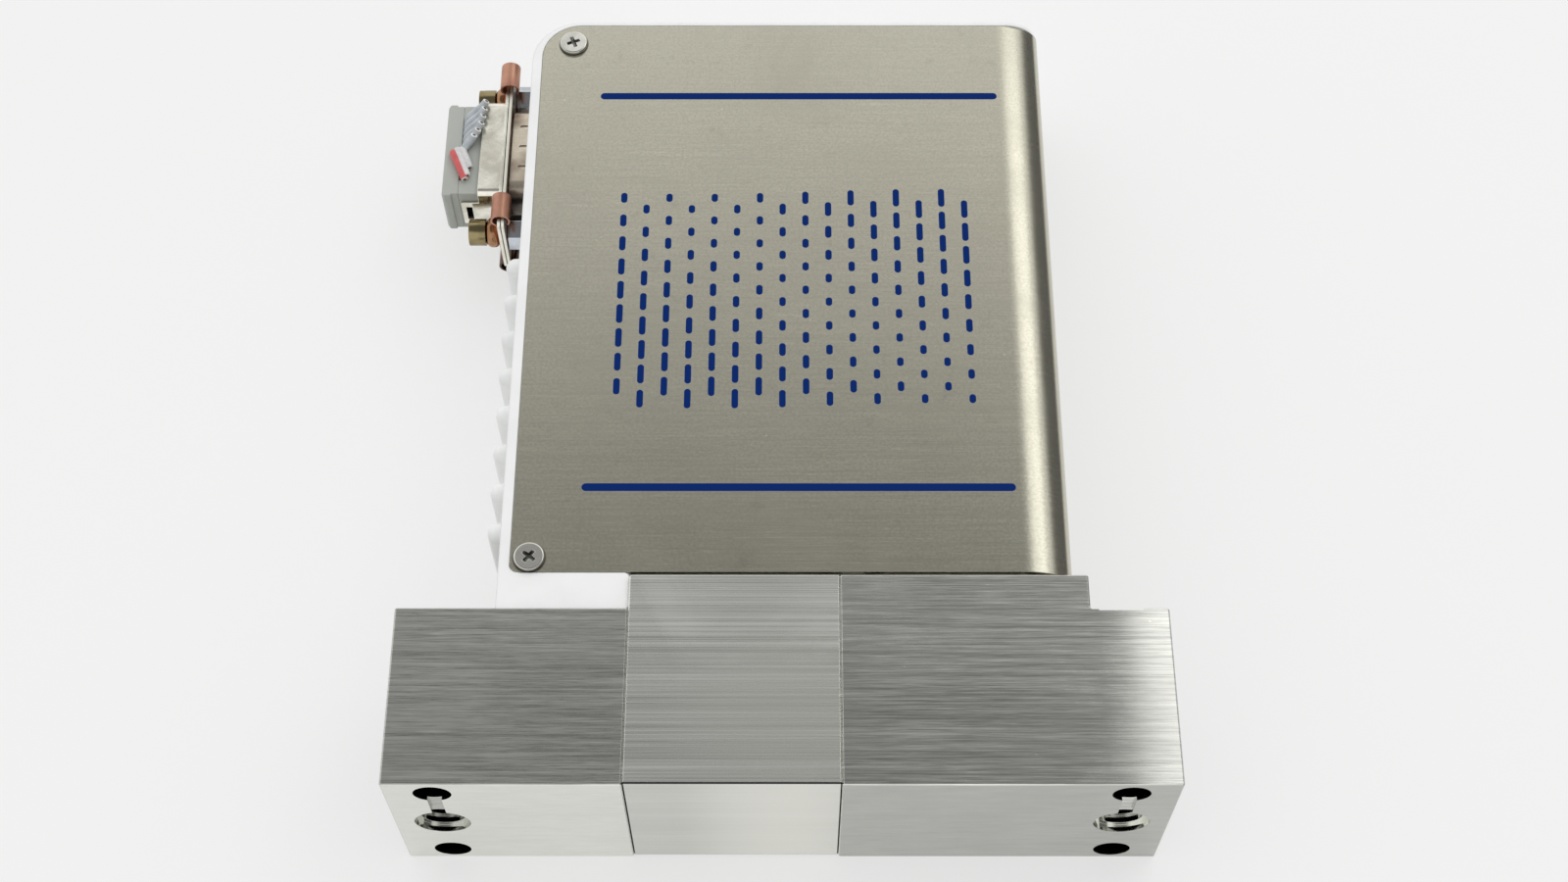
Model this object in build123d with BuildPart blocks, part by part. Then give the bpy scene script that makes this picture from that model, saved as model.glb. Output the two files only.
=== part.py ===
from build123d import *
import os

os.makedirs("parts", exist_ok=True)

# Lengths are in millimetres. X runs along the base from the inlet end to the outlet end, Y from the
# mounting face up through the instrument, and Z across its width. The unit lies on its side, so +Z
# is up. The origin is the middle of the mounting face.

# ---------------------------------------------------------------- driving dimensions: base
base_length = 105.0
base_width = 28.5
shoulder_height = 25.4
tall_height = 30.4
inlet_length = 31.6
center_length = 28.8
outlet_shoulder = 10.7
center_recess = 0.25
edge_break = 0.2

port_pitch = 92.0
mounting_pitch = 21.84
mounting_radius = 2.55
port_radius = 2.3
seal_step_radius = 2.95
seal_step_depth = 2.0
seal_counterbore_radius = 3.8
seal_counterbore_depth = 1.0
leak_groove_width = 1.9
leak_groove_depth = 0.5
spotface_radius = 4.5
spotface_depth = 0.35

flow_y = 15.0
flow_radius = 2.0
bypass_radius = 4.5
bypass_clearance = 0.03
joint_seal_radius = 5.9
joint_seal_depth = 1.0

tie_spread_z = 5.6
tie_low_y = 8.0
tie_high_y = 21.5
tie_radius = 1.5
tie_hole_radius = 1.65
tie_tap_radius = 1.55
tie_tap_depth = 8.0
tie_head_radius = 2.75
tie_head_height = 3.0
tie_counterbore_radius = 2.9
tie_counterbore_depth = 3.2
tie_socket_radius = 1.4
tie_socket_depth = 1.5

# ---------------------------------------------------------------- driving dimensions: sensor
small_screw_radius = 1.0
small_screw_hole = 1.2
small_screw_head = (1.9, 1.4)
small_screw_reach = 3.5
tap_depth = 4.0
sensor_x = -6.5
sensor_base_size = (25.0, 4.0, 19.0)
sensor_leg_spread = 12.0
sensor_tube_radius = 0.5
sensor_tube_height = 12.0
sensor_tube_bend = 2.0
sensor_tap_radius = 0.6
winding_radius = 1.3
winding_length = 3.2
winding_gap = 0.8
sensor_cover_size = (18.0, 17.0, 12.0)
sensor_cover_wall = 1.5
sensor_screw_spread_x = 20.0
sensor_screw_spread_z = 15.0

transducer_x = -29.8
transducer_thread_radius = 4.0
transducer_thread_depth = 6.0
transducer_hex_radius = 6.7
transducer_hex_height = 4.0
transducer_can_radius = 6.0
transducer_can_height = 17.0
transducer_pin_radius = 0.4
transducer_pin_length = 3.0

# ---------------------------------------------------------------- driving dimensions: valve
valve_x = 24.0
valve_cavity_radius = 7.0
valve_cavity_floor = 20.0
valve_outlet_y = 11.0
valve_lift = 0.4
seat_thickness = 2.5
seat_rim_height = 6.5
seat_nozzle_radius = 1.5
seat_nozzle_height = 0.8
seat_orifice_radius = 0.4
plunger_radius = 3.9
plunger_neck_radius = 2.6
plunger_neck_length = 0.7
plunger_top = 44.5
guide_inner_radius = 4.0
guide_outer_radius = 4.5
guide_top = 52.0
guide_flange_size = (22.0, 2.5)
guide_screw_spread = 17.6
spring_thickness = 0.2
spring_clearance = 0.45
spring_inner_radius = 2.8
core_gap = 0.1
core_top = 60.0
core_thread_radius = 2.5
bobbin_flange_radius = 9.6
bobbin_tube_wall = 0.6
bobbin_flange_thickness = 0.8
winding_wall = 4.0
yoke_half_width = 11.2
yoke_half_depth = 6.0
yoke_thickness = 1.5
yoke_bottom = 32.9
yoke_top = 55.0
valve_nut_flats = 8.0
valve_nut_height = 2.6

# ---------------------------------------------------------------- driving dimensions: cover and housing
cover_inset = 0.85
sheet = 0.8
sheet_gap = 0.05
cover_left = 15.05
cover_right = 92.7
cover_bottom = 31.2
cover_top = 126.3
cover_bend_radius = 5.1
cover_top_corner = 6.0
cover_bottom_corner = 1.3

housing_left = 13.5
housing_top = 126.9
housing_wall = 2.0
housing_ledge = 2.3
housing_rail_width = 2.0
lip_right = 31.55
lip_top = 31.05
lip_corner = 0.7
floor_bottom = 31.6
floor_top = 33.2
floor_right = 91.4

rib_count = 8
rib_first_y = 83.1
rib_pitch = 6.33
rib_radius = 1.5
rib_reach = 2.3
rib_length = 22.5

cover_screw_places = ((19.8, 122.6), (17.7, 33.3))
cover_screw_radius = 2.15
cover_screw_head = 0.85
cover_screw_round = 0.5
cross_recess = (2.4, 0.55, 1.1)
cross_turn = 25.0
cover_screw_shank = 1.2
cover_screw_length = 4.0
boss_size = 5.4
boss_depth = 4.5
foot_radius = 1.8
housing_screw_places = ((62.4, 8.5), (62.4, -8.5), (89.5, 8.5), (89.5, -8.5))
housing_screw_radius = 0.8
housing_screw_head = (1.7, 1.2)

# ---------------------------------------------------------------- driving dimensions: circuit board
board_thickness = 1.6
board_face_z = -4.9
board_chips = ((8, 98, 14, 14, 1.6), (-12, 78, 10, 10, 1.4), (14, 76, 9, 6, 1.8), (24, 88, 5, 4, 1.6),
               (-14, 94, 5, 4, 1.6), (25, 110, 7, 9, 3.0))
capacitor_size = (2.5, 4.2)
capacitor_places = ((-4, 112), (3, 113), (27, 98))
board_left = 17.0
board_right = 86.5
board_bottom = 62.0
rail_grip = 1.1
rail_depth = 2.0
side_rail_length = 28.0
top_rail_x = (-10.0, 25.0)

# ---------------------------------------------------------------- driving dimensions: connector pair
connector_y = 108.6
connector_z = 0.3
connector_flange = (30.8, 12.5)
connector_flange_corner = 1.6
connector_screw_spread = 25.0
connector_hole_radius = 1.6
dee_slope = 80.0
contact_pitch = 2.77
contact_row_gap = 2.84
contact_radius = 0.5
tail_room = 0.65

socket_flange_x = 15.5
socket_flange_thickness = 0.5
socket_mouth_x = 10.0
socket_dee = (17.8, 9.3, 2.6)
socket_wall = 0.4
dimple_size = (1.3, 0.6)
dimple_depth = 0.2
dimple_pitch = 3.84
dimple_x = 11.75
dimple_shift = 0.5
insert_back_x = 27.0
post_flats = 4.76
post_turn = 24.0
post_front_x = 9.85
post_stud = (1.45, 4.0)
post_hole_radius = 1.4
post_hole_depth = 4.6

plug_plate_thickness = 0.5
plug_front_plate_x = 9.3
plug_rear_plate_x = 8.7
plug_skirt_dee = (16.4, 7.9, 2.2)
plug_skirt_wall = 0.35
plug_skirt_tip_x = 15.2
plug_tub = (17.8, 10.8, 1.0)
plug_tub_left_x = 5.2
plug_tub_wall = 0.4
latch_left_x = 2.4
latch_height = 5.4
latch_window = (0.9, 3.2)
latch_pocket = (1.3, 1.2, 3.6)
plug_body_left_x = 2.1
plug_body_size = (16.8, 9.2)
plug_cap_left_x = -0.5
plug_cap_step_x = 1.0
plug_cap_ridge = 0.3
ribbon_slot_depth = 1.0

jack_head_x = 3.75
jack_head_end_x = 6.35
jack_head_radius = 2.1
jack_head_chamfer = 0.35
jack_slot = (0.7, 0.8)
jack_shank_radius = 1.3
jack_tip_x = 13.2
bush_end_x = 8.5
bush_radius = 2.35
bush_end_radius = 1.75
clip_length = 4.9
clip_strip = 0.2
clip_curl_radius = 1.5
clip_curl_wall = 0.3
clip_slot = 1.16

ribbon_pitch = 1.27
ribbon_ways = 9
ribbon_thickness = 0.9
ribbon_lift = 0.95
ribbon_mouth_y = (109.7, 114.3)
ribbon_upper_arm = ((2.15, 109.7), (2.15, 114.3), (5.5, 117.0), (6.0, 115.6), (4.3, 108.9))
ribbon_lower_arm = ((-0.1, 108.6), (1.2, 109.5), (3.6, 107.9), (4.2, 103.6), (3.4, 101.9))

# ---------------------------------------------------------------- derived values
half_width = base_width / 2
base_left = -base_length / 2
base_right = base_length / 2
inlet_seam = base_left + inlet_length
outlet_seam = inlet_seam + center_length
step_x = base_right - outlet_shoulder
inlet_port_x = -port_pitch / 2
outlet_port_x = port_pitch / 2
cover_face = half_width - cover_inset
inner_face = cover_face - sheet - sheet_gap
cover_left_x = base_left + cover_left
cover_right_x = base_left + cover_right
housing_left_x = base_left + housing_left
wall_inner_x = housing_left_x + housing_wall
rail_face = inner_face - housing_rail_width
sit = (Align.CENTER, Align.CENTER, Align.MIN)
hang = (Align.CENTER, Align.CENTER, Align.MAX)
tie_places = [(y, z) for y in (tie_low_y, tie_high_y) for z in (-tie_spread_z, tie_spread_z)]


# ---------------------------------------------------------------- planes and shared shapes
def level(y, x=0.0):
    """A plane square to Y at height y, facing up the instrument."""
    return Plane(origin=(x, y, 0), x_dir=(1, 0, 0), z_dir=(0, 1, 0))


def mouth(x):
    """A plane on the mounting face at x, facing out of it; its own Y axis is the part's Z."""
    return Plane(origin=(x, 0, 0), x_dir=(1, 0, 0), z_dir=(0, -1, 0))


def station(x, y=0.0, z=0.0):
    """A plane square to X at x, facing the outlet end; its own axes are the part's Y and Z."""
    return Plane(origin=(x, y, z), x_dir=(0, 1, 0), z_dir=(1, 0, 0))


def plug_plane(distance):
    """A station on the connector's axis, at a distance from the base's inlet end."""
    return station(base_left + distance, connector_y, connector_z)


def drill(plane, radius, depth, places=((0, 0),)):
    """Cuts round holes in the open part, from a plane to a depth behind it."""
    with BuildSketch(plane) as rounds:
        with Locations(*places):
            Circle(radius)
    extrude(rounds.sketch, amount=-depth, mode=Mode.SUBTRACT)


def rod(plane, radius, length, places=((0, 0),)):
    """Adds round bars to the open part, from a plane to a length in front of it."""
    with BuildSketch(plane) as rounds:
        with Locations(*places):
            Circle(radius)
    extrude(rounds.sketch, amount=length)


def block(low, high, mode=Mode.ADD):
    """Adds or cuts a square block between two opposite corners."""
    size = [high[i] - low[i] for i in range(3)]
    middle = [(high[i] + low[i]) / 2 for i in range(3)]
    with Locations(tuple(middle)):
        Box(*size, mode=mode)


def dee_face(plane, size):
    """The D outline of a nine-way connector, its long side towards +Z."""
    with BuildSketch(plane) as outline:
        Trapezoid(size[0], size[1], dee_slope, rotation=180)
        fillet(outline.vertices(), size[2])
    return outline.sketch


def rounded_face(plane, length, height, corner):
    """A rectangle with round corners on a plane."""
    with BuildSketch(plane) as outline:
        RectangleRounded(length, height, corner)
    return outline.sketch


def flange_face(plane):
    """A connector flange with its two screw holes."""
    with BuildSketch(plane) as outline:
        RectangleRounded(*connector_flange, connector_flange_corner)
        with Locations((-connector_screw_spread / 2, 0), (connector_screw_spread / 2, 0)):
            Circle(connector_hole_radius, mode=Mode.SUBTRACT)
    return outline.sketch


def contact_places():
    """The nine contacts: five in the upper row and four between them in the lower."""
    upper = [((i - 2) * contact_pitch, contact_row_gap / 2) for i in range(5)]
    lower = [((i - 1.5) * contact_pitch, -contact_row_gap / 2) for i in range(4)]
    return upper + lower


def cut_mounting_end(x):
    """Cuts one end's stepped gas port, its two mounting holes and the leak-check groove."""
    drill(mouth(x), seal_counterbore_radius, seal_counterbore_depth)
    drill(mouth(x), seal_step_radius, seal_step_depth)
    drill(mouth(x), port_radius, flow_y)
    drill(mouth(x), mounting_radius, shoulder_height, ((0, mounting_pitch / 2), (0, -mounting_pitch / 2)))
    with BuildSketch(mouth(x)) as groove:
        with Locations((0, mounting_pitch / 4)):
            Rectangle(leak_groove_width, mounting_pitch / 2)
    extrude(groove.sketch, amount=-leak_groove_depth, mode=Mode.SUBTRACT)


# ---------------------------------------------------------------- base: three blocks in line
with BuildPart() as inlet_block:
    block((base_left, 0, -half_width), (inlet_seam, shoulder_height, half_width))
    chamfer(inlet_block.edges(), edge_break)
    cut_mounting_end(inlet_port_x)
    drill(station(inlet_seam, flow_y), flow_radius, inlet_seam - inlet_port_x)
    drill(station(inlet_seam), tie_hole_radius, inlet_length, tie_places)
    drill(station(base_left + tie_counterbore_depth), tie_counterbore_radius, tie_counterbore_depth,
          tie_places)
    drill(level(shoulder_height, transducer_x), transducer_thread_radius, transducer_thread_depth)
    drill(level(shoulder_height, transducer_x), flow_radius / 2, shoulder_height - flow_y)
inlet_block.part.label = "inlet_block"
export_step(inlet_block.part, "parts/inlet_block.step")

with BuildPart() as center_block:
    block((inlet_seam, center_recess, -half_width), (outlet_seam, tall_height, half_width))
    chamfer(center_block.edges(), edge_break)
    drill(station(outlet_seam, flow_y), bypass_radius, center_length)
    drill(station(outlet_seam, flow_y), joint_seal_radius, joint_seal_depth)
    drill(station(inlet_seam + joint_seal_depth, flow_y), joint_seal_radius, joint_seal_depth)
    drill(station(outlet_seam), tie_hole_radius, center_length, tie_places)
    drill(level(tall_height, sensor_x), sensor_tap_radius, tall_height - flow_y,
          ((-sensor_leg_spread / 2, 0), (sensor_leg_spread / 2, 0)))
    with Locations(level(tall_height, sensor_x)):
        with GridLocations(sensor_screw_spread_x, sensor_screw_spread_z, 2, 2):
            Hole(small_screw_radius, tap_depth)
center_block.part.label = "center_block"
export_step(center_block.part, "parts/center_block.step")

with BuildPart() as outlet_block:
    with BuildSketch(Plane.XY.offset(-half_width)):
        with BuildLine():
            Polyline((outlet_seam, 0), (base_right, 0), (base_right, shoulder_height),
                     (step_x, shoulder_height), (step_x, tall_height), (outlet_seam, tall_height),
                     close=True)
        make_face()
    extrude(amount=base_width)
    chamfer(outlet_block.edges(), edge_break)
    cut_mounting_end(outlet_port_x)
    drill(level(shoulder_height, outlet_port_x), spotface_radius, spotface_depth,
          ((0, mounting_pitch / 2), (0, -mounting_pitch / 2)))
    drill(station(outlet_seam + tie_tap_depth), tie_tap_radius, tie_tap_depth, tie_places)
    drill(level(tall_height, valve_x), valve_cavity_radius, tall_height - valve_cavity_floor)
    drill(level(valve_cavity_floor, valve_x), seat_nozzle_radius, valve_cavity_floor - valve_outlet_y)
    drill(station(outlet_port_x, valve_outlet_y), flow_radius, outlet_port_x - valve_x)
    drill(station(valve_x - valve_cavity_radius + 2 * flow_radius, flow_y), flow_radius / 2,
          valve_x - valve_cavity_radius + 2 * flow_radius - outlet_seam)
    drill(level(valve_cavity_floor, valve_x - valve_cavity_radius + flow_radius), flow_radius / 2,
          valve_cavity_floor - flow_y)
    drill(level(tall_height, valve_x), small_screw_radius, tap_depth,
          [(x, z) for x in (-guide_screw_spread / 2, guide_screw_spread / 2)
           for z in (-guide_screw_spread / 2, guide_screw_spread / 2)])
    drill(level(tall_height), housing_screw_radius, tap_depth,
          [(base_left + x, z) for x, z in housing_screw_places])
outlet_block.part.label = "outlet_block"
export_step(outlet_block.part, "parts/outlet_block.step")

with BuildPart() as tie_screws:
    rod(station(base_left + tie_counterbore_depth - tie_head_height), tie_head_radius, tie_head_height,
        tie_places)
    rod(station(base_left + tie_counterbore_depth), tie_radius,
        outlet_seam + tie_tap_depth - base_left - tie_counterbore_depth - edge_break, tie_places)
    with BuildSketch(station(base_left + tie_counterbore_depth - tie_head_height + tie_socket_depth)):
        with Locations(*tie_places):
            RegularPolygon(tie_socket_radius, 6)
    extrude(amount=-tie_socket_depth, mode=Mode.SUBTRACT)
tie_screws.part.label = "tie_screws"
export_step(tie_screws.part, "parts/tie_screws.step")

with BuildPart() as block_seals:
    for seam_x in (inlet_seam, outlet_seam - joint_seal_depth):
        rod(station(seam_x, flow_y), joint_seal_radius - bypass_clearance, joint_seal_depth)
        drill(station(seam_x + joint_seal_depth, flow_y), bypass_radius, joint_seal_depth)
block_seals.part.label = "block_seals"
export_step(block_seals.part, "parts/block_seals.step")

with BuildPart() as bypass_element:
    rod(station(inlet_seam + 2 * joint_seal_depth, flow_y), bypass_radius - bypass_clearance,
        center_length - 4 * joint_seal_depth)
    with BuildSketch(station(outlet_seam, flow_y)):
        with HexLocations(1.25, 3, 3):
            Circle(0.75)
    extrude(amount=-center_length, mode=Mode.SUBTRACT)
bypass_element.part.label = "bypass_element"
export_step(bypass_element.part, "parts/bypass_element.step")

# ---------------------------------------------------------------- thermal sensor on the centre block
sensor_deck = tall_height + sensor_base_size[1]
tube_y = sensor_deck + sensor_tube_height

with BuildPart() as sensor_base:
    with BuildSketch(level(tall_height, sensor_x)):
        RectangleRounded(sensor_base_size[0], sensor_base_size[2], 1.5)
        with Locations((-sensor_leg_spread / 2, 0), (sensor_leg_spread / 2, 0)):
            Circle(sensor_tap_radius, mode=Mode.SUBTRACT)
        with GridLocations(sensor_screw_spread_x, sensor_screw_spread_z, 2, 2):
            Circle(small_screw_hole, mode=Mode.SUBTRACT)
    extrude(amount=sensor_base_size[1])
sensor_base.part.label = "sensor_base"
export_step(sensor_base.part, "parts/sensor_base.step")

with BuildPart() as sensor_tube:
    leg = sensor_leg_spread / 2
    with BuildLine():
        FilletPolyline((sensor_x - leg, tall_height, 0), (sensor_x - leg, tube_y, 0),
                       (sensor_x + leg, tube_y, 0), (sensor_x + leg, tall_height, 0),
                       radius=sensor_tube_bend)
    with BuildSketch(level(tall_height, sensor_x - leg)):
        Circle(sensor_tube_radius)
    sweep()
sensor_tube.part.label = "sensor_tube"
export_step(sensor_tube.part, "parts/sensor_tube.step")

with BuildPart() as sensor_windings:
    for winding_x in (sensor_x - winding_gap / 2 - winding_length, sensor_x + winding_gap / 2):
        with BuildSketch(station(winding_x, tube_y)):
            Circle(winding_radius)
            Circle(sensor_tube_radius, mode=Mode.SUBTRACT)
        extrude(amount=winding_length)
sensor_windings.part.label = "sensor_windings"
export_step(sensor_windings.part, "parts/sensor_windings.step")

with BuildPart() as sensor_cover:
    with BuildSketch(level(sensor_deck, sensor_x)):
        RectangleRounded(sensor_cover_size[0], sensor_cover_size[2], 1.5)
    extrude(amount=sensor_cover_size[1])
    with BuildSketch(level(sensor_deck, sensor_x)):
        Rectangle(sensor_cover_size[0] - 2 * sensor_cover_wall, sensor_cover_size[2] - 2 * sensor_cover_wall)
    extrude(amount=sensor_cover_size[1] - sensor_cover_wall, mode=Mode.SUBTRACT)
    fillet(sensor_cover.faces().sort_by(Axis.Y)[-1].edges(), 0.8)
sensor_cover.part.label = "sensor_cover"
export_step(sensor_cover.part, "parts/sensor_cover.step")

with BuildPart() as sensor_screws:
    with Locations(level(sensor_deck, sensor_x)):
        with GridLocations(sensor_screw_spread_x, sensor_screw_spread_z, 2, 2):
            Cylinder(*small_screw_head, align=sit)
            Cylinder(small_screw_radius, sensor_base_size[1] + small_screw_reach, align=hang)
sensor_screws.part.label = "sensor_screws"
export_step(sensor_screws.part, "parts/sensor_screws.step")

# ---------------------------------------------------------------- pressure transducer on the inlet block
with BuildPart() as pressure_transducer:
    rod(level(shoulder_height - transducer_thread_depth + 0.5, transducer_x),
        transducer_thread_radius - 0.05, transducer_thread_depth)
    drill(level(shoulder_height, transducer_x), flow_radius / 2, transducer_thread_depth)
    with BuildSketch(level(shoulder_height, transducer_x)):
        RegularPolygon(transducer_hex_radius, 6)
    extrude(amount=transducer_hex_height)
    rod(level(shoulder_height + transducer_hex_height, transducer_x), transducer_can_radius,
        transducer_can_height)
    fillet(pressure_transducer.faces().sort_by(Axis.Y)[-1].edges(), 1.0)
    rod(level(shoulder_height + transducer_hex_height + transducer_can_height - 0.5, transducer_x),
        transducer_pin_radius, transducer_pin_length, ((-2, 0), (2, 0), (0, -2), (0, 2)))
pressure_transducer.part.label = "pressure_transducer"
export_step(pressure_transducer.part, "parts/pressure_transducer.step")

# ---------------------------------------------------------------- normally closed solenoid valve
seat_deck = valve_cavity_floor + seat_thickness
seat_rim_top = valve_cavity_floor + seat_rim_height
collar_bottom = seat_deck + seat_nozzle_height
collar_top = seat_rim_top - spring_clearance
spring_top = seat_rim_top + spring_thickness
guide_deck = tall_height + guide_flange_size[1]

with BuildPart() as valve_seat:
    rod(level(valve_cavity_floor, valve_x), valve_cavity_radius - bypass_clearance, seat_rim_height)
    drill(level(seat_rim_top, valve_x), valve_cavity_radius - 1.2, seat_rim_height - seat_thickness)
    rod(level(seat_deck, valve_x), seat_nozzle_radius, seat_nozzle_height)
    drill(level(collar_bottom, valve_x), seat_orifice_radius, seat_thickness + seat_nozzle_height)
    drill(level(seat_deck, valve_x - valve_cavity_radius + flow_radius), flow_radius / 2, seat_thickness)
valve_seat.part.label = "valve_seat"
export_step(valve_seat.part, "parts/valve_seat.step")

with BuildPart() as valve_plunger:
    rod(level(collar_bottom, valve_x), plunger_radius, collar_top - collar_bottom)
    rod(level(collar_top, valve_x), plunger_neck_radius, plunger_neck_length)
    rod(level(collar_top + plunger_neck_length, valve_x), plunger_radius,
        plunger_top - collar_top - plunger_neck_length)
    chamfer(valve_plunger.faces().sort_by(Axis.Y)[-1].edges(), 0.3)
valve_plunger.part.label = "valve_plunger"
export_step(valve_plunger.part, "parts/valve_plunger.step")

with BuildPart() as valve_spring:
    with BuildSketch(level(seat_rim_top, valve_x)):
        Circle(valve_cavity_radius - bypass_clearance)
        Circle(spring_inner_radius, mode=Mode.SUBTRACT)
        with PolarLocations(4.7, 3):
            SlotOverall(4.6, 0.9, rotation=90, mode=Mode.SUBTRACT)
    extrude(amount=spring_thickness)
valve_spring.part.label = "valve_spring"
export_step(valve_spring.part, "parts/valve_spring.step")

with BuildPart() as valve_guide:
    rod(level(spring_top, valve_x), valve_cavity_radius - bypass_clearance, tall_height - spring_top)
    with BuildSketch(level(tall_height, valve_x)):
        RectangleRounded(guide_flange_size[0], guide_flange_size[0], 2.0)
        with GridLocations(guide_screw_spread, guide_screw_spread, 2, 2):
            Circle(small_screw_hole, mode=Mode.SUBTRACT)
    extrude(amount=guide_flange_size[1])
    rod(level(guide_deck, valve_x), guide_outer_radius, guide_top - guide_deck)
    drill(level(guide_top, valve_x), guide_inner_radius, guide_top - spring_top)
    drill(level(spring_top + 1.0, valve_x), plunger_radius + 1.0, 1.0)
valve_guide.part.label = "valve_guide"
export_step(valve_guide.part, "parts/valve_guide.step")

with BuildPart() as valve_core:
    rod(level(plunger_top + valve_lift + core_gap, valve_x), guide_inner_radius - bypass_clearance,
        yoke_top - plunger_top - valve_lift - core_gap)
    rod(level(guide_top, valve_x), guide_outer_radius, yoke_top - guide_top)
    rod(level(yoke_top, valve_x), core_thread_radius, core_top - yoke_top)
valve_core.part.label = "valve_core"
export_step(valve_core.part, "parts/valve_core.step")

with BuildPart() as valve_bobbin:
    bobbin_bottom = yoke_bottom + yoke_thickness
    bobbin_inner = guide_outer_radius + bypass_clearance
    rod(level(bobbin_bottom, valve_x), bobbin_inner + bobbin_tube_wall, yoke_top - bobbin_bottom)
    rod(level(bobbin_bottom, valve_x), bobbin_flange_radius, bobbin_flange_thickness)
    rod(level(yoke_top - bobbin_flange_thickness, valve_x), bobbin_flange_radius, bobbin_flange_thickness)
    drill(level(yoke_top, valve_x), bobbin_inner, yoke_top - bobbin_bottom)
valve_bobbin.part.label = "valve_bobbin"
export_step(valve_bobbin.part, "parts/valve_bobbin.step")

with BuildPart() as valve_coil:
    with BuildSketch(level(bobbin_bottom + bobbin_flange_thickness, valve_x)):
        Circle(bobbin_inner + bobbin_tube_wall + winding_wall)
        Circle(bobbin_inner + bobbin_tube_wall, mode=Mode.SUBTRACT)
    extrude(amount=yoke_top - bobbin_bottom - 2 * bobbin_flange_thickness)
valve_coil.part.label = "valve_coil"
export_step(valve_coil.part, "parts/valve_coil.step")

with BuildPart() as valve_yoke:
    block((valve_x - yoke_half_width, yoke_bottom, -yoke_half_depth),
          (valve_x + yoke_half_width, yoke_top + yoke_thickness, yoke_half_depth))
    block((valve_x - yoke_half_width + yoke_thickness, yoke_bottom + yoke_thickness, -yoke_half_depth),
          (valve_x + yoke_half_width - yoke_thickness, yoke_top, yoke_half_depth), mode=Mode.SUBTRACT)
    drill(level(yoke_bottom + yoke_thickness, valve_x), guide_outer_radius + bypass_clearance,
          yoke_thickness)
    drill(level(yoke_top + yoke_thickness, valve_x), core_thread_radius + bypass_clearance,
          yoke_thickness)
valve_yoke.part.label = "valve_yoke"
export_step(valve_yoke.part, "parts/valve_yoke.step")

with BuildPart() as valve_nut:
    with BuildSketch(level(yoke_top + yoke_thickness, valve_x)):
        RegularPolygon(valve_nut_flats / 2, 6, major_radius=False)
        Circle(core_thread_radius + bypass_clearance, mode=Mode.SUBTRACT)
    extrude(amount=valve_nut_height)
valve_nut.part.label = "valve_nut"
export_step(valve_nut.part, "parts/valve_nut.step")

with BuildPart() as valve_screws:
    with Locations(level(guide_deck, valve_x)):
        with GridLocations(guide_screw_spread, guide_screw_spread, 2, 2):
            Cylinder(*small_screw_head, align=sit)
            Cylinder(small_screw_radius, guide_flange_size[1] + small_screw_reach, align=hang)
valve_screws.part.label = "valve_screws"
export_step(valve_screws.part, "parts/valve_screws.step")

# ---------------------------------------------------------------- moulded end housing and frame
ledge_bottom = cover_top + sheet_gap - housing_ledge
lip_right_x = base_left + lip_right
floor_right_x = base_left + floor_right
board_left_x = base_left + board_left
band_corner = cover_top_corner + cover_left - housing_left
steel_left = cover_left_x - sheet_gap

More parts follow.
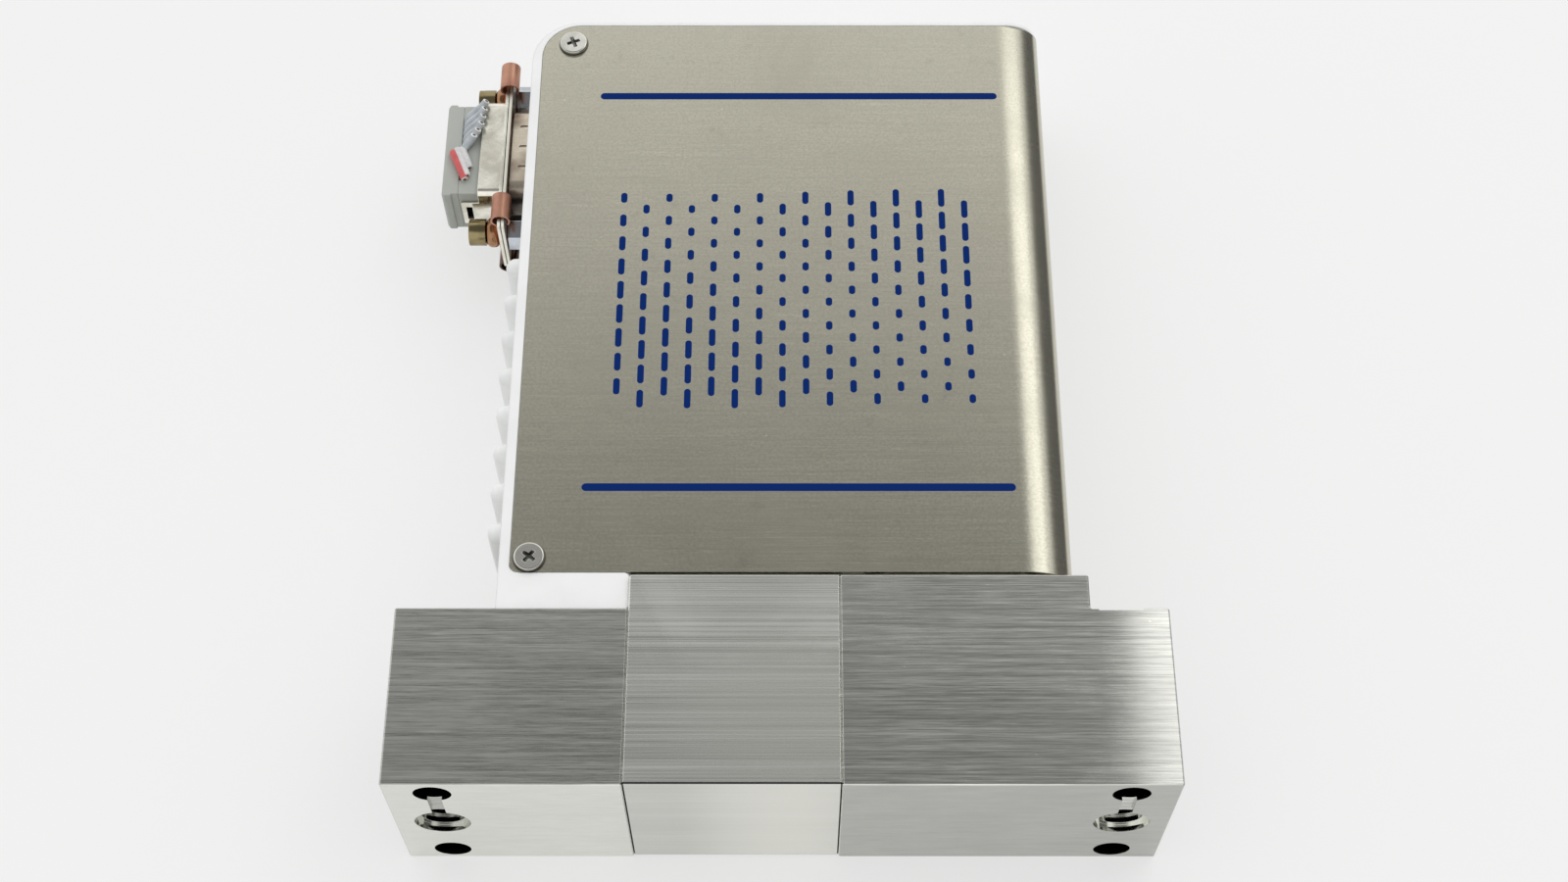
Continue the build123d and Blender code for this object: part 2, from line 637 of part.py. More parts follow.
with BuildPart() as housing:
    # end wall, and the rim that frames the sheet's left edge
    block((housing_left_x, shoulder_height, -cover_face), (steel_left, cover_top + sheet_gap, cover_face))
    block((steel_left, lip_top, -inner_face), (wall_inner_x, cover_top + sheet_gap, inner_face))
    for side in (-1, 1):
        low_z, high_z = sorted((side * inner_face, side * rail_face))
        block((wall_inner_x, lip_top, low_z),
              (wall_inner_x + housing_rail_width, cover_top + sheet_gap, high_z))
    # ledge under the sheet's top edge, and the thin rim above it that follows the bend
    with BuildSketch(level(ledge_bottom)):
        with Locations(((steel_left + cover_right_x - sheet - sheet_gap) / 2, 0)):
            Rectangle(cover_right_x - sheet - sheet_gap - steel_left, 2 * inner_face)
    extrude(amount=housing_ledge)
    fillet(housing.edges().filter_by(Axis.Y).group_by(Axis.X)[-1], cover_bend_radius - sheet)
    with BuildSketch(level(cover_top + sheet_gap)) as rim:
        with Locations(((housing_left_x + cover_right_x) / 2, 0)):
            Rectangle(cover_right_x - housing_left_x, 2 * cover_face)
        fillet(rim.vertices().group_by(Axis.X)[-1], cover_bend_radius)
    extrude(amount=housing_top - cover_top - sheet_gap)
    # corner between the rim and the sheet's round corner, on both sides
    for side in (-1, 1):
        with BuildSketch(Plane.XY.offset(min(side * cover_face, side * rail_face))):
            with Locations((steel_left, cover_top + sheet_gap)):
                Rectangle(cover_top_corner, cover_top_corner, align=(Align.MIN, Align.MAX))
            with Locations((steel_left + cover_top_corner, cover_top + sheet_gap - cover_top_corner)):
                Circle(cover_top_corner, mode=Mode.SUBTRACT)
        extrude(amount=cover_face - rail_face)
    with BuildSketch(Plane.XY.offset(-cover_face)):
        with Locations((housing_left_x, housing_top)):
            Rectangle(band_corner, band_corner, align=(Align.MIN, Align.MAX))
        with Locations((housing_left_x + band_corner, housing_top - band_corner)):
            Circle(band_corner, mode=Mode.SUBTRACT)
    extrude(amount=2 * cover_face, mode=Mode.SUBTRACT)
    # lip over the inlet block's shoulder, hollow round the transducer
    with BuildSketch(Plane.XY.offset(-cover_face)) as lip:
        with Locations(((housing_left_x + lip_right_x) / 2, (shoulder_height + lip_top) / 2)):
            Rectangle(lip_right_x - housing_left_x, lip_top - shoulder_height)
        fillet(lip.vertices().group_by(Axis.X)[-1], lip_corner)
    extrude(amount=2 * cover_face)
    # floor above the blocks, open round the sensor and the valve, on four feet
    with BuildSketch(level(floor_bottom)) as floor:
        with Locations(((lip_right_x - lip_corner + floor_right_x) / 2, 0)):
            Rectangle(floor_right_x - lip_right_x + lip_corner, 2 * inner_face)
        fillet(floor.vertices().group_by(Axis.X)[-1], cover_bend_radius - sheet)
    extrude(amount=floor_top - floor_bottom)
    block((wall_inner_x, lip_top, -inner_face), (lip_right_x, floor_top, inner_face))
    for foot_x, foot_z in housing_screw_places:
        with BuildSketch(level(tall_height, base_left + foot_x)):
            with Locations((0, -foot_z)):
                Circle(foot_radius)
        extrude(amount=floor_bottom - tall_height)
    drill(level(floor_top, transducer_x), transducer_hex_radius + 0.6, floor_top)
    sensor_half = (sensor_base_size[0] / 2 + 0.3, sensor_base_size[2] / 2 + 0.3)
    block((sensor_x - sensor_half[0], floor_bottom - 1, -sensor_half[1]),
          (sensor_x + sensor_half[0], floor_top + 1, sensor_half[1]), mode=Mode.SUBTRACT)
    valve_half = guide_flange_size[0] / 2 + 0.2
    block((valve_x - valve_half, floor_bottom - 1, -valve_half),
          (valve_x + valve_half, floor_top + 1, valve_half), mode=Mode.SUBTRACT)
    drill(level(floor_top), housing_screw_radius + sheet_gap, floor_top - tall_height,
          [(base_left + x, z) for x, z in housing_screw_places])
    # opening for the socket, its flange seated on the inside of the end wall
    extrude(rounded_face(plug_plane(housing_left + housing_wall), connector_flange[0] - 0.7,
                         connector_flange[1] - 0.7, 1.4), amount=-housing_wall, mode=Mode.SUBTRACT)
    # bosses for the four cover screws
    for boss_x, boss_y in cover_screw_places:
        for side in (-1, 1):
            low_z, high_z = sorted((side * inner_face, side * (inner_face - boss_depth)))
            block((wall_inner_x, boss_y - boss_size / 2, low_z),
                  (base_left + boss_x + boss_size / 2, boss_y + boss_size / 2, high_z))
    for side in (-1, 1):
        with Locations(Plane.XY.offset(side * (inner_face - cover_screw_length / 2 + sheet))):
            with Locations(*[(base_left + x, y) for x, y in cover_screw_places]):
                Cylinder(cover_screw_shank + bypass_clearance, cover_screw_length, mode=Mode.SUBTRACT)
    # slotted rails that hold the circuit board by its left and top edges
    for rail_z in (board_face_z, board_face_z - board_thickness - rail_grip):
        block((wall_inner_x, board_bottom, rail_z),
              (board_left_x + rail_depth, board_bottom + side_rail_length, rail_z + rail_grip))
        block((top_rail_x[0], ledge_bottom - rail_depth, rail_z),
              (top_rail_x[1], ledge_bottom, rail_z + rail_grip))
    # half-round finger ribs on the end wall
    for i in range(rib_count):
        rib_y = rib_first_y - i * rib_pitch
        with BuildSketch(station(housing_left_x, rib_y)):
            SlotOverall(rib_length, 2 * rib_radius, rotation=90)
        extrude(amount=-(rib_reach - rib_radius))
        with Locations((housing_left_x - rib_reach + rib_radius, rib_y, 0)):
            Cylinder(rib_radius, rib_length - 2 * rib_radius)
        for end_z in (-rib_length / 2 + rib_radius, rib_length / 2 - rib_radius):
            with Locations((housing_left_x - rib_reach + rib_radius, rib_y, end_z)):
                Sphere(rib_radius)
housing.part.label = "housing"
export_step(housing.part, "parts/housing.step")

with BuildPart() as housing_screws:
    for screw_x, screw_z in housing_screw_places:
        with Locations(level(floor_top, base_left + screw_x)):
            with Locations((0, -screw_z)):
                Cylinder(*housing_screw_head, align=sit)
                Cylinder(housing_screw_radius, floor_top - tall_height + small_screw_reach, align=hang)
housing_screws.part.label = "housing_screws"
export_step(housing_screws.part, "parts/housing_screws.step")

# ---------------------------------------------------------------- folded steel cover and its screws
with BuildPart() as steel_cover:
    with BuildSketch(level(cover_bottom)) as wrap:
        with Locations(((cover_left_x + cover_right_x) / 2, 0)):
            Rectangle(cover_right_x - cover_left_x, 2 * cover_face)
        fillet(wrap.vertices().group_by(Axis.X)[-1], cover_bend_radius)
        offset(amount=-sheet, mode=Mode.SUBTRACT)
        with Locations((cover_left_x, 0)):
            Rectangle(2 * sheet, 2 * (cover_face - sheet), mode=Mode.SUBTRACT)
    extrude(amount=cover_top - cover_bottom)
    corner_edges = steel_cover.edges().filter_by(Axis.Z).group_by(Axis.X)[0]
    fillet(corner_edges.group_by(Axis.Y)[-1], cover_top_corner)
    fillet(corner_edges.group_by(Axis.Y)[0], cover_bottom_corner)
    with Locations(*[(base_left + x, y, 0) for x, y in cover_screw_places]):
        Cylinder(cover_screw_shank + 0.25, base_width, mode=Mode.SUBTRACT)
steel_cover.part.label = "steel_cover"
export_step(steel_cover.part, "parts/steel_cover.step")

with BuildPart() as cover_screws:
    for side in (-1, 1):
        face = Plane(origin=(0, 0, side * cover_face), x_dir=(1, 0, 0), z_dir=(0, 0, side))
        for screw_x, screw_y in cover_screw_places:
            with Locations(face):
                with Locations((base_left + screw_x, side * screw_y)):
                    Cylinder(cover_screw_radius, cover_screw_head, align=sit)
                    Cylinder(cover_screw_shank, cover_screw_length, align=hang)
    head_edges = cover_screws.edges().filter_by(GeomType.CIRCLE).group_by(Axis.Z)
    fillet(head_edges[0] + head_edges[-1], cover_screw_round)
    for side in (-1, 1):
        for screw_x, screw_y in cover_screw_places:
            with Locations((base_left + screw_x, screw_y, side * half_width)):
                Box(*cross_recess, rotation=(0, 0, cross_turn), mode=Mode.SUBTRACT)
                Box(*cross_recess, rotation=(0, 0, cross_turn + 90), mode=Mode.SUBTRACT)
cover_screws.part.label = "cover_screws"
export_step(cover_screws.part, "parts/cover_screws.step")

# ---------------------------------------------------------------- circuit board
board_right_x = base_left + board_right
with BuildPart() as control_board:
    block((board_left_x, board_bottom, board_face_z - board_thickness),
          (board_right_x, ledge_bottom, board_face_z))
control_board.part.label = "control_board"
export_step(control_board.part, "parts/control_board.step")

with BuildPart() as board_components:
    for chip_x, chip_y, chip_length, chip_width, chip_height in board_chips:
        block((chip_x - chip_length / 2, chip_y - chip_width / 2, board_face_z),
              (chip_x + chip_length / 2, chip_y + chip_width / 2, board_face_z + chip_height))
    rod(Plane.XY.offset(board_face_z), *capacitor_size, capacitor_places)
board_components.part.label = "board_components"
export_step(board_components.part, "parts/board_components.step")

# ---------------------------------------------------------------- nine-way socket on the end wall
with BuildPart() as dsub_shell:
    extrude(flange_face(plug_plane(socket_flange_x)), amount=socket_flange_thickness)
    extrude(dee_face(plug_plane(socket_flange_x), socket_dee), amount=socket_mouth_x - socket_flange_x)
    inner_dee = (socket_dee[0] - 2 * socket_wall, socket_dee[1] - 2 * socket_wall, socket_dee[2] - socket_wall)
    extrude(dee_face(plug_plane(socket_mouth_x), inner_dee),
            amount=socket_flange_x + socket_flange_thickness - socket_mouth_x, mode=Mode.SUBTRACT)
    # row of long dimples that grips the plug, pressed into both wide sides
    for side in (-1, 1):
        with BuildSketch(Plane.XY.offset(connector_z + side * (socket_dee[1] / 2 - dimple_depth))):
            with GridLocations(0, dimple_pitch, 1, 3):
                with Locations((base_left + dimple_x, connector_y + dimple_shift)):
                    SlotOverall(*dimple_size)
        extrude(amount=side * 2 * dimple_depth, mode=Mode.SUBTRACT)
dsub_shell.part.label = "dsub_shell"
export_step(dsub_shell.part, "parts/dsub_shell.step")

socket_back = socket_flange_x + socket_flange_thickness
pin_tip_x = socket_mouth_x + 0.8
tail_x = (base_left + insert_back_x - 4.0, base_left + insert_back_x - 1.5)

with BuildPart() as dsub_insert:
    block((base_left + socket_back, connector_y - 9.4, board_face_z),
          (base_left + insert_back_x, connector_y + 9.4, connector_z + 5.2))
    fitted_dee = (inner_dee[0] - 0.1, inner_dee[1] - 0.1, inner_dee[2])
    extrude(dee_face(plug_plane(socket_back), fitted_dee), amount=-0.5)
    drill(plug_plane(insert_back_x), contact_radius + sheet_gap, insert_back_x - socket_flange_x + 1,
          contact_places())
    for row in (0, 1):
        ways = contact_places()[:5] if row == 0 else contact_places()[5:]
        for way_y, way_z in ways:
            block((tail_x[row] - tail_room, connector_y + way_y - tail_room, board_face_z - 1),
                  (tail_x[row] + tail_room, connector_y + way_y + tail_room, connector_z + way_z),
                  mode=Mode.SUBTRACT)
dsub_insert.part.label = "dsub_insert"
export_step(dsub_insert.part, "parts/dsub_insert.step")

with BuildPart() as dsub_pins:
    for row in (0, 1):
        ways = contact_places()[:5] if row == 0 else contact_places()[5:]
        for way_y, way_z in ways:
            pin_z = connector_z + way_z
            with BuildSketch(station(base_left + pin_tip_x, connector_y + way_y, pin_z)):
                Circle(contact_radius)
            extrude(amount=tail_x[row] - base_left - pin_tip_x)
            with Locations((tail_x[row], connector_y + way_y, (pin_z + board_face_z) / 2)):
                Cylinder(contact_radius, pin_z - board_face_z)
            with Locations((tail_x[row], connector_y + way_y, pin_z)):
                Sphere(contact_radius)
dsub_pins.part.label = "dsub_pins"
export_step(dsub_pins.part, "parts/dsub_pins.step")

screw_sides = ((-connector_screw_spread / 2, 0), (connector_screw_spread / 2, 0))

with BuildPart() as jack_posts:
    with BuildSketch(plug_plane(post_front_x)):
        with Locations(*screw_sides):
            RegularPolygon(post_flats / 2, 6, major_radius=False, rotation=post_turn)
    extrude(amount=socket_flange_x - post_front_x)
    rod(plug_plane(socket_flange_x), *post_stud, screw_sides)
    drill(plug_plane(post_front_x + post_hole_depth), post_hole_radius, post_hole_depth, screw_sides)
jack_posts.part.label = "jack_posts"
export_step(jack_posts.part, "parts/jack_posts.step")

# ---------------------------------------------------------------- ribbon-cable plug on the socket
skirt_inner = (plug_skirt_dee[0] - 2 * plug_skirt_wall, plug_skirt_dee[1] - 2 * plug_skirt_wall,
               plug_skirt_dee[2] - plug_skirt_wall)

with BuildPart() as plug_front_shell:
    extrude(flange_face(plug_plane(plug_front_plate_x)), amount=plug_plate_thickness)
    extrude(dee_face(plug_plane(plug_front_plate_x), plug_skirt_dee),
            amount=plug_skirt_tip_x - plug_front_plate_x)
    extrude(dee_face(plug_plane(plug_front_plate_x), skirt_inner),
            amount=plug_skirt_tip_x - plug_front_plate_x, mode=Mode.SUBTRACT)
plug_front_shell.part.label = "plug_front_shell"
export_step(plug_front_shell.part, "parts/plug_front_shell.step")

with BuildPart() as plug_rear_shell:
    tub_depth = plug_rear_plate_x - plug_tub_left_x
    extrude(flange_face(plug_plane(plug_rear_plate_x)), amount=plug_plate_thickness)
    extrude(rounded_face(plug_plane(plug_rear_plate_x), *plug_tub), amount=-tub_depth)
    for end in (-1, 1):
        latch_y = connector_y + end * (plug_tub[0] - plug_tub_wall) / 2
        block((base_left + latch_left_x, latch_y - plug_tub_wall / 2, connector_z - latch_height / 2),
              (base_left + plug_tub_left_x + 1, latch_y + plug_tub_wall / 2, connector_z + latch_height / 2))
        with Locations((base_left + latch_left_x + 1.15, latch_y, connector_z)):
            Box(latch_window[0], 2 * plug_tub_wall, latch_window[1], mode=Mode.SUBTRACT)
    inner_tub = (plug_tub[0] - 2 * plug_tub_wall, plug_tub[1] - 2 * plug_tub_wall, 0.6)
    extrude(rounded_face(plug_plane(plug_rear_plate_x + plug_plate_thickness), *inner_tub),
            amount=-tub_depth - plug_plate_thickness, mode=Mode.SUBTRACT)
plug_rear_shell.part.label = "plug_rear_shell"
export_step(plug_rear_shell.part, "parts/plug_rear_shell.step")

with BuildPart() as plug_insulator:
    fitted_tub = (inner_tub[0] - 0.1, inner_tub[1] - 0.1, 0.6)
    extrude(rounded_face(plug_plane(plug_tub_left_x), *fitted_tub),
            amount=plug_front_plate_x - plug_tub_left_x)
    fitted_skirt = (skirt_inner[0] - 0.1, skirt_inner[1] - 0.1, skirt_inner[2])
    extrude(dee_face(plug_plane(plug_front_plate_x), fitted_skirt),
            amount=plug_skirt_tip_x - plug_front_plate_x - 0.2)
    drill(plug_plane(plug_skirt_tip_x), contact_radius + 0.1, plug_skirt_tip_x - pin_tip_x + 0.2,
          contact_places())
plug_insulator.part.label = "plug_insulator"
export_step(plug_insulator.part, "parts/plug_insulator.step")

body_left_x = base_left + plug_body_left_x
body_low = (connector_y - plug_body_size[0] / 2, connector_z - plug_body_size[1] / 2)
body_high = (connector_y + plug_body_size[0] / 2, connector_z + plug_body_size[1] / 2)
ribbon_half = ribbon_pitch * ribbon_ways / 2

with BuildPart() as plug_body:
    block((body_left_x, body_low[0], body_low[1]),
          (base_left + plug_tub_left_x, body_high[0], body_high[1]))
    block((body_left_x, connector_y - ribbon_half - 0.1, body_low[1]),
          (body_left_x + ribbon_slot_depth, connector_y + ribbon_half + 0.1, body_high[1]),
          mode=Mode.SUBTRACT)
    with Locations(*[(base_left + latch_left_x + 1.15, connector_y + end * plug_body_size[0] / 2, connector_z)
                     for end in (-1, 1)]):
        Box(latch_pocket[0], 2 * latch_pocket[1], latch_pocket[2], mode=Mode.SUBTRACT)
plug_body.part.label = "plug_body"
export_step(plug_body.part, "parts/plug_body.step")

with BuildPart() as plug_cap:
    block((base_left + plug_cap_step_x, body_low[0], body_low[1]), (body_left_x, body_high[0], body_high[1]))
    block((base_left + plug_cap_left_x, body_low[0] - plug_cap_ridge, body_low[1]),
          (base_left + plug_cap_step_x, body_high[0] + plug_cap_ridge, body_high[1]))
    chamfer(plug_cap.edges().group_by(Axis.X)[0], 0.4)
plug_cap.part.label = "plug_cap"
export_step(plug_cap.part, "parts/plug_cap.step")

with BuildPart() as jackscrews:
    rod(plug_plane(jack_head_x), jack_head_radius, jack_head_end_x - jack_head_x, screw_sides)
    head_rims = jackscrews.edges().filter_by(GeomType.CIRCLE).group_by(Axis.X)
    chamfer(head_rims[0] + head_rims[-1], jack_head_chamfer)
    rod(plug_plane(jack_head_end_x), jack_shank_radius, jack_tip_x - jack_head_end_x, screw_sides)
    with BuildSketch(plug_plane(jack_head_x)):
        with Locations(*screw_sides):
            Rectangle(jack_slot[0], 3 * jack_head_radius, rotation=35)
    extrude(amount=jack_slot[1], mode=Mode.SUBTRACT)
jackscrews.part.label = "jackscrews"
export_step(jackscrews.part, "parts/jackscrews.step")

with BuildPart() as jackscrew_bushes:
    for side_y, _ in screw_sides:
        axis_y = connector_y + side_y
        start_x = base_left + jack_head_end_x
        end_x = base_left + bush_end_x
        with BuildSketch(Plane.XY.offset(connector_z)):
            with BuildLine():
                Line((start_x, axis_y + bush_end_radius), (start_x, axis_y + jack_shank_radius + 0.03))
                Line((start_x, axis_y + jack_shank_radius + 0.03), (end_x, axis_y + jack_shank_radius + 0.03))
                Line((end_x, axis_y + jack_shank_radius + 0.03), (end_x, axis_y + bush_end_radius))
                ThreePointArc((end_x, axis_y + bush_end_radius),
                              ((start_x + end_x) / 2, axis_y + bush_radius),
                              (start_x, axis_y + bush_end_radius))
            make_face()
        revolve(axis=Axis((0, axis_y, connector_z), (1, 0, 0)))
jackscrew_bushes.part.label = "jackscrew_bushes"
export_step(jackscrew_bushes.part, "parts/jackscrew_bushes.step")

with BuildPart() as flange_clips:
    curl_x = base_left + plug_rear_plate_x + 0.55
    curl_z = connector_flange[1] / 2
    for side_y, _ in screw_sides:
        with BuildSketch(level(connector_y + side_y - clip_length / 2)):
            for end in (-1, 1):
                with Locations((curl_x, -connector_z + end * curl_z)):
                    Circle(clip_curl_radius)
                    Circle(clip_curl_radius - clip_curl_wall, mode=Mode.SUBTRACT)
            with Locations((base_left + bush_end_x + clip_strip / 2, -connector_z)):
                Rectangle(clip_strip, 2 * curl_z - 2 * clip_curl_radius + 1.4)
            with Locations((curl_x, -connector_z)):
                Rectangle(clip_slot, 2 * curl_z, mode=Mode.SUBTRACT)
        extrude(amount=clip_length)
        with Locations((curl_x, connector_y + side_y, connector_z)):
            Cylinder(jack_shank_radius + 0.03, 4 * clip_curl_radius, rotation=(0, 90, 0), mode=Mode.SUBTRACT)
flange_clips.part.label = "flange_clips"
export_step(flange_clips.part, "parts/flange_clips.step")

with BuildPart() as ribbon_stub:
    ribbon_left = body_left_x + 0.05
    ribbon_right = ribbon_left + ribbon_thickness
    ribbon_deck = body_high[1] + 0.05
    block((ribbon_left, connector_y - ribbon_half, body_low[1]),
          (ribbon_right, connector_y + ribbon_half, ribbon_deck + ribbon_thickness))
    # arm that lies back over the plug's shell, and the folded arm that crosses the plug's body
    for arm, arm_z in ((ribbon_upper_arm, ribbon_deck + ribbon_lift), (ribbon_lower_arm, ribbon_deck)):
        with BuildSketch(Plane.XY.offset(arm_z)):
            with BuildLine():
                Polyline(*[(base_left + x, y) for x, y in arm], close=True)
            make_face()
        extrude(amount=ribbon_thickness)
    block((ribbon_left, ribbon_mouth_y[0], ribbon_deck),
          (ribbon_right, ribbon_mouth_y[1], ribbon_deck + ribbon_lift))
ribbon_stub.part.label = "ribbon_stub"
export_step(ribbon_stub.part, "parts/ribbon_stub.step")
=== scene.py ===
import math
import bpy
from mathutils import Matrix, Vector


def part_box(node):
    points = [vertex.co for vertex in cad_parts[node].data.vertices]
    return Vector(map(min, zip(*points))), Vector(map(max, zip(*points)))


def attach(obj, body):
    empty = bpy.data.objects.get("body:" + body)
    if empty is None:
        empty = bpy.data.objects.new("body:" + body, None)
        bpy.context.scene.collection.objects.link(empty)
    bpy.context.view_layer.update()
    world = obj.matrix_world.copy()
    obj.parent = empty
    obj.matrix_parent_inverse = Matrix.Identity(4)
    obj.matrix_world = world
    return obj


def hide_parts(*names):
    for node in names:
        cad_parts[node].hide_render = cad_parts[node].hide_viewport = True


bl_info = {
    "name": "Flow Controller Finish",
    "version": (1, 0, 0),
    "blender": (4, 5, 0),
    "location": "View3D > Sidebar > Flow Controller",
    "description": "Finishes, fasteners, ribbon plug and studio for a surface-mount mass flow controller",
    "category": "Add Mesh",
}

import bmesh
import bpy
from mathutils import Vector

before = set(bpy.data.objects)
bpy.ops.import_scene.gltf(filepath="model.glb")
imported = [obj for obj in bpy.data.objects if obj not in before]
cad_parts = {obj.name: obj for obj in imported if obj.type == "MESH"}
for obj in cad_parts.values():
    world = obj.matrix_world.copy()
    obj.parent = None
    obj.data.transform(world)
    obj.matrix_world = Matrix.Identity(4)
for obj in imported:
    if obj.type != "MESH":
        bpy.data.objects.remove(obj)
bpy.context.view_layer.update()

MM = 0.001
ALONG_X = (0, math.pi / 2, 0)  # turn that lays a round bar along X

# places, all in millimetres
BASE_LEFT = -52.5  # the base's left end along X
UNDERSIDE = -14.25  # the side that the part lies on, along Z
COVER_FACE = 13.4  # the cover's flat sides, up and down along Z
COVER_SCREWS = ((-32.7, 122.6), (-34.8, 33.3))  # axes of the cover's screws on each side, X and Y
PRINTED_RULES = (((2.45, 112.5), 30.55), ((2.3, 44.3), 30.4))  # middle and half length of each rule
PLUG_MIDDLE = (108.6, 0.3)  # middle of the ribbon plug, Y and Z
JACKSCREWS = (121.1, 96.1)  # axes of the jackscrews along Y
PORT_X, PORT_DEPTH, HOLE_Z = 46.0, 20.0, 10.92  # gas ports, their bores and the mounting holes
PAINTED_LIGHT_PATCH = ((1.0, 10.0), (15.0, 12.0))  # middle and reach of the pool of light painted on the centre block
LAPPED_FROM = 42.8  # the outlet block's sides fall away from here along X


# ------------------------------------------------------------------ sizes and colours a user changes
def length(name, words, default):
    """A length in millimetres, kept in metres for the sidebar."""
    return bpy.props.FloatProperty(name=name, description=words, default=default * MM, min=0.0,
                                   precision=5, unit="LENGTH")


def colour(name, words, default):
    """A linear colour for the sidebar."""
    return bpy.props.FloatVectorProperty(name=name, description=words, default=default, size=3,
                                         min=0.0, max=1.0, subtype="COLOR")


def share(name, words, default):
    """A share between none and all for the sidebar."""
    return bpy.props.FloatProperty(name=name, description=words, default=default, min=0.0, max=1.0,
                                   subtype="FACTOR")


def strength(name, words, default, unit="NONE"):
    """A strength of light for the sidebar."""
    return bpy.props.FloatProperty(name=name, description=words, default=default, min=0.0, unit=unit)


class FLOW_PG_metals(bpy.types.PropertyGroup):
    """Colours and grain of the metal pieces."""
    block_steel: colour("Block steel", "Machined stainless of the base blocks", (0.57, 0.573, 0.535))
    cover_steel: colour("Cover steel", "Rolled stainless of the folded cover", (0.60, 0.58, 0.475))
    nickel: colour("Nickel", "Bright plate on the plug's rear shell", (0.88, 0.86, 0.76))
    passivate: colour("Passivate", "Brown passivated plate of the plug's front shell", (0.24, 0.15, 0.09))
    shell_plate: colour("Shell plate", "Yellow passivated plate on the socket's shell", (0.72, 0.64, 0.52))
    copper: colour("Copper", "Rolled clips on the plug's flange", (0.51, 0.275, 0.19))
    bush_copper: colour("Bush copper", "Polished bushes behind the jackscrew heads", (0.40, 0.235, 0.13))
    brass: colour("Brass", "Turned jackscrew heads", (0.30, 0.245, 0.13))
    screw: colour("Screw steel", "Polished screw heads", (0.74, 0.73, 0.67))
    grain: length("Grain", "Distance between brushed lines", 0.16)
    rub: length("Edge rub", "Width of the bright rub along metal edges", 0.12)


class FLOW_PG_plastics(bpy.types.PropertyGroup):
    """Colours of the moulded pieces, the ribbon and the print."""
    white: colour("White moulding", "End housing", (0.93, 0.94, 0.93))
    grey: colour("Grey moulding", "Body and cap of the ribbon plug", (0.44, 0.46, 0.42))
    jacket: colour("Ribbon grey", "Jacket of the plain conductors", (0.48, 0.52, 0.55))
    insulation: colour("Ribbon pale", "Jacket of the folded conductors", (0.70, 0.69, 0.69))
    marker: colour("Ribbon red", "Jacket of the marked first conductor", (0.62, 0.10, 0.10))
    black: colour("Black moulding", "Socket and plug insulators", (0.02, 0.02, 0.022))
    print_blue: colour("Print", "Ink of the rules and dashes on the cover", (0.001, 0.022, 0.15))


class FLOW_PG_pieces(bpy.types.PropertyGroup):
    """Sizes of the pieces that are modelled here."""
    sheet: length("Sheet", "Thickness of the cover's steel", 0.8)
    bend_reach: length("Bend reach", "How far the cover's soft bends reach along its flat sides", 7.0)
    bend_drop: length("Bend drop", "How far the cover's soft bends reach down its end", 4.0)
    top_corner: length("Top corner", "Radius of the cover's round top corner", 6.0)
    low_corner: length("Low corner", "Radius of the cover's bottom corner", 1.3)
    screw_head: length("Screw head", "Radius of a cover screw's head", 2.15)
    screw_rise: length("Screw rise", "Height of a cover screw's head", 0.68)
    cross: length("Cross", "Length of the cross recess", 2.7)
    jack_head: length("Jackscrew head", "Radius of a jackscrew's head", 2.1)
    bush: length("Bush", "Widest radius of a jackscrew's bush", 2.35)
    curl: length("Clip curl", "Outer radius of a flange clip's curl", 1.5)
    curl_wall: length("Clip wall", "Thickness of a flange clip", 0.3)
    clip: length("Clip length", "Length of a flange clip along the flange", 4.5)
    conductor: length("Conductor", "Radius of one conductor's jacket", 0.58)


class FLOW_PG_studio(bpy.types.PropertyGroup):
    """Camera, floor and lights."""
    lens: bpy.props.FloatProperty(name="Lens", description="Focal length on a 36 mm sensor",
                                  default=52.383, unit="CAMERA")
    floor: colour("Floor", "Plain pale table", (0.95, 0.95, 0.945))
    glow: share("Paper", "How much of the table shows as plain white paper", 0.62)
    ambient: strength("Room light", "Even light of the room", 0.92)
    horizon: strength("Horizon", "Brightness of the room low down, as metal shows it", 1.0)
    zenith: strength("Overhead", "Brightness of the room overhead", 0.22)
    doorway: share("Doorway", "Darkness of the room low down on the right", 0.85)
    softbox: strength("Softbox", "Power of the softbox", 0.36, "POWER")


# ------------------------------------------------------------------ modelling steps
def rest():
    """Leaves edit mode with nothing selected."""
    if bpy.context.object and bpy.context.object.mode != "OBJECT":
        bpy.ops.object.mode_set(mode="OBJECT")
    bpy.ops.object.select_all(action="DESELECT")


def take(piece):
    """Selects one piece alone and makes it active."""
    rest()
    piece.select_set(True)
    bpy.context.view_layer.objects.active = piece
    return piece


def settle(piece):
    """Puts a piece's place and turn into its mesh."""
    take(piece)
    bpy.ops.object.transform_apply(location=True, rotation=True, scale=True)
    return piece


def bar(name, low, high):
    """A square bar between two corners given in millimetres."""
    rest()
    bpy.ops.mesh.primitive_cube_add(size=1, location=[(a + b) / 2 * MM for a, b in zip(low, high)],
                                    scale=[(b - a) * MM for a, b in zip(low, high)])
    bpy.context.object.name = name
    return settle(bpy.context.object)


def round_bar(name, middle, radius, depth, turn=(0, 0, 0), sides=64):
    """A round bar about a middle in metres, along Z unless turned."""
    rest()
    bpy.ops.mesh.primitive_cylinder_add(vertices=sides, radius=radius, depth=depth, location=middle,
                                        rotation=turn)
    bpy.context.object.name = name
    return settle(bpy.context.object)


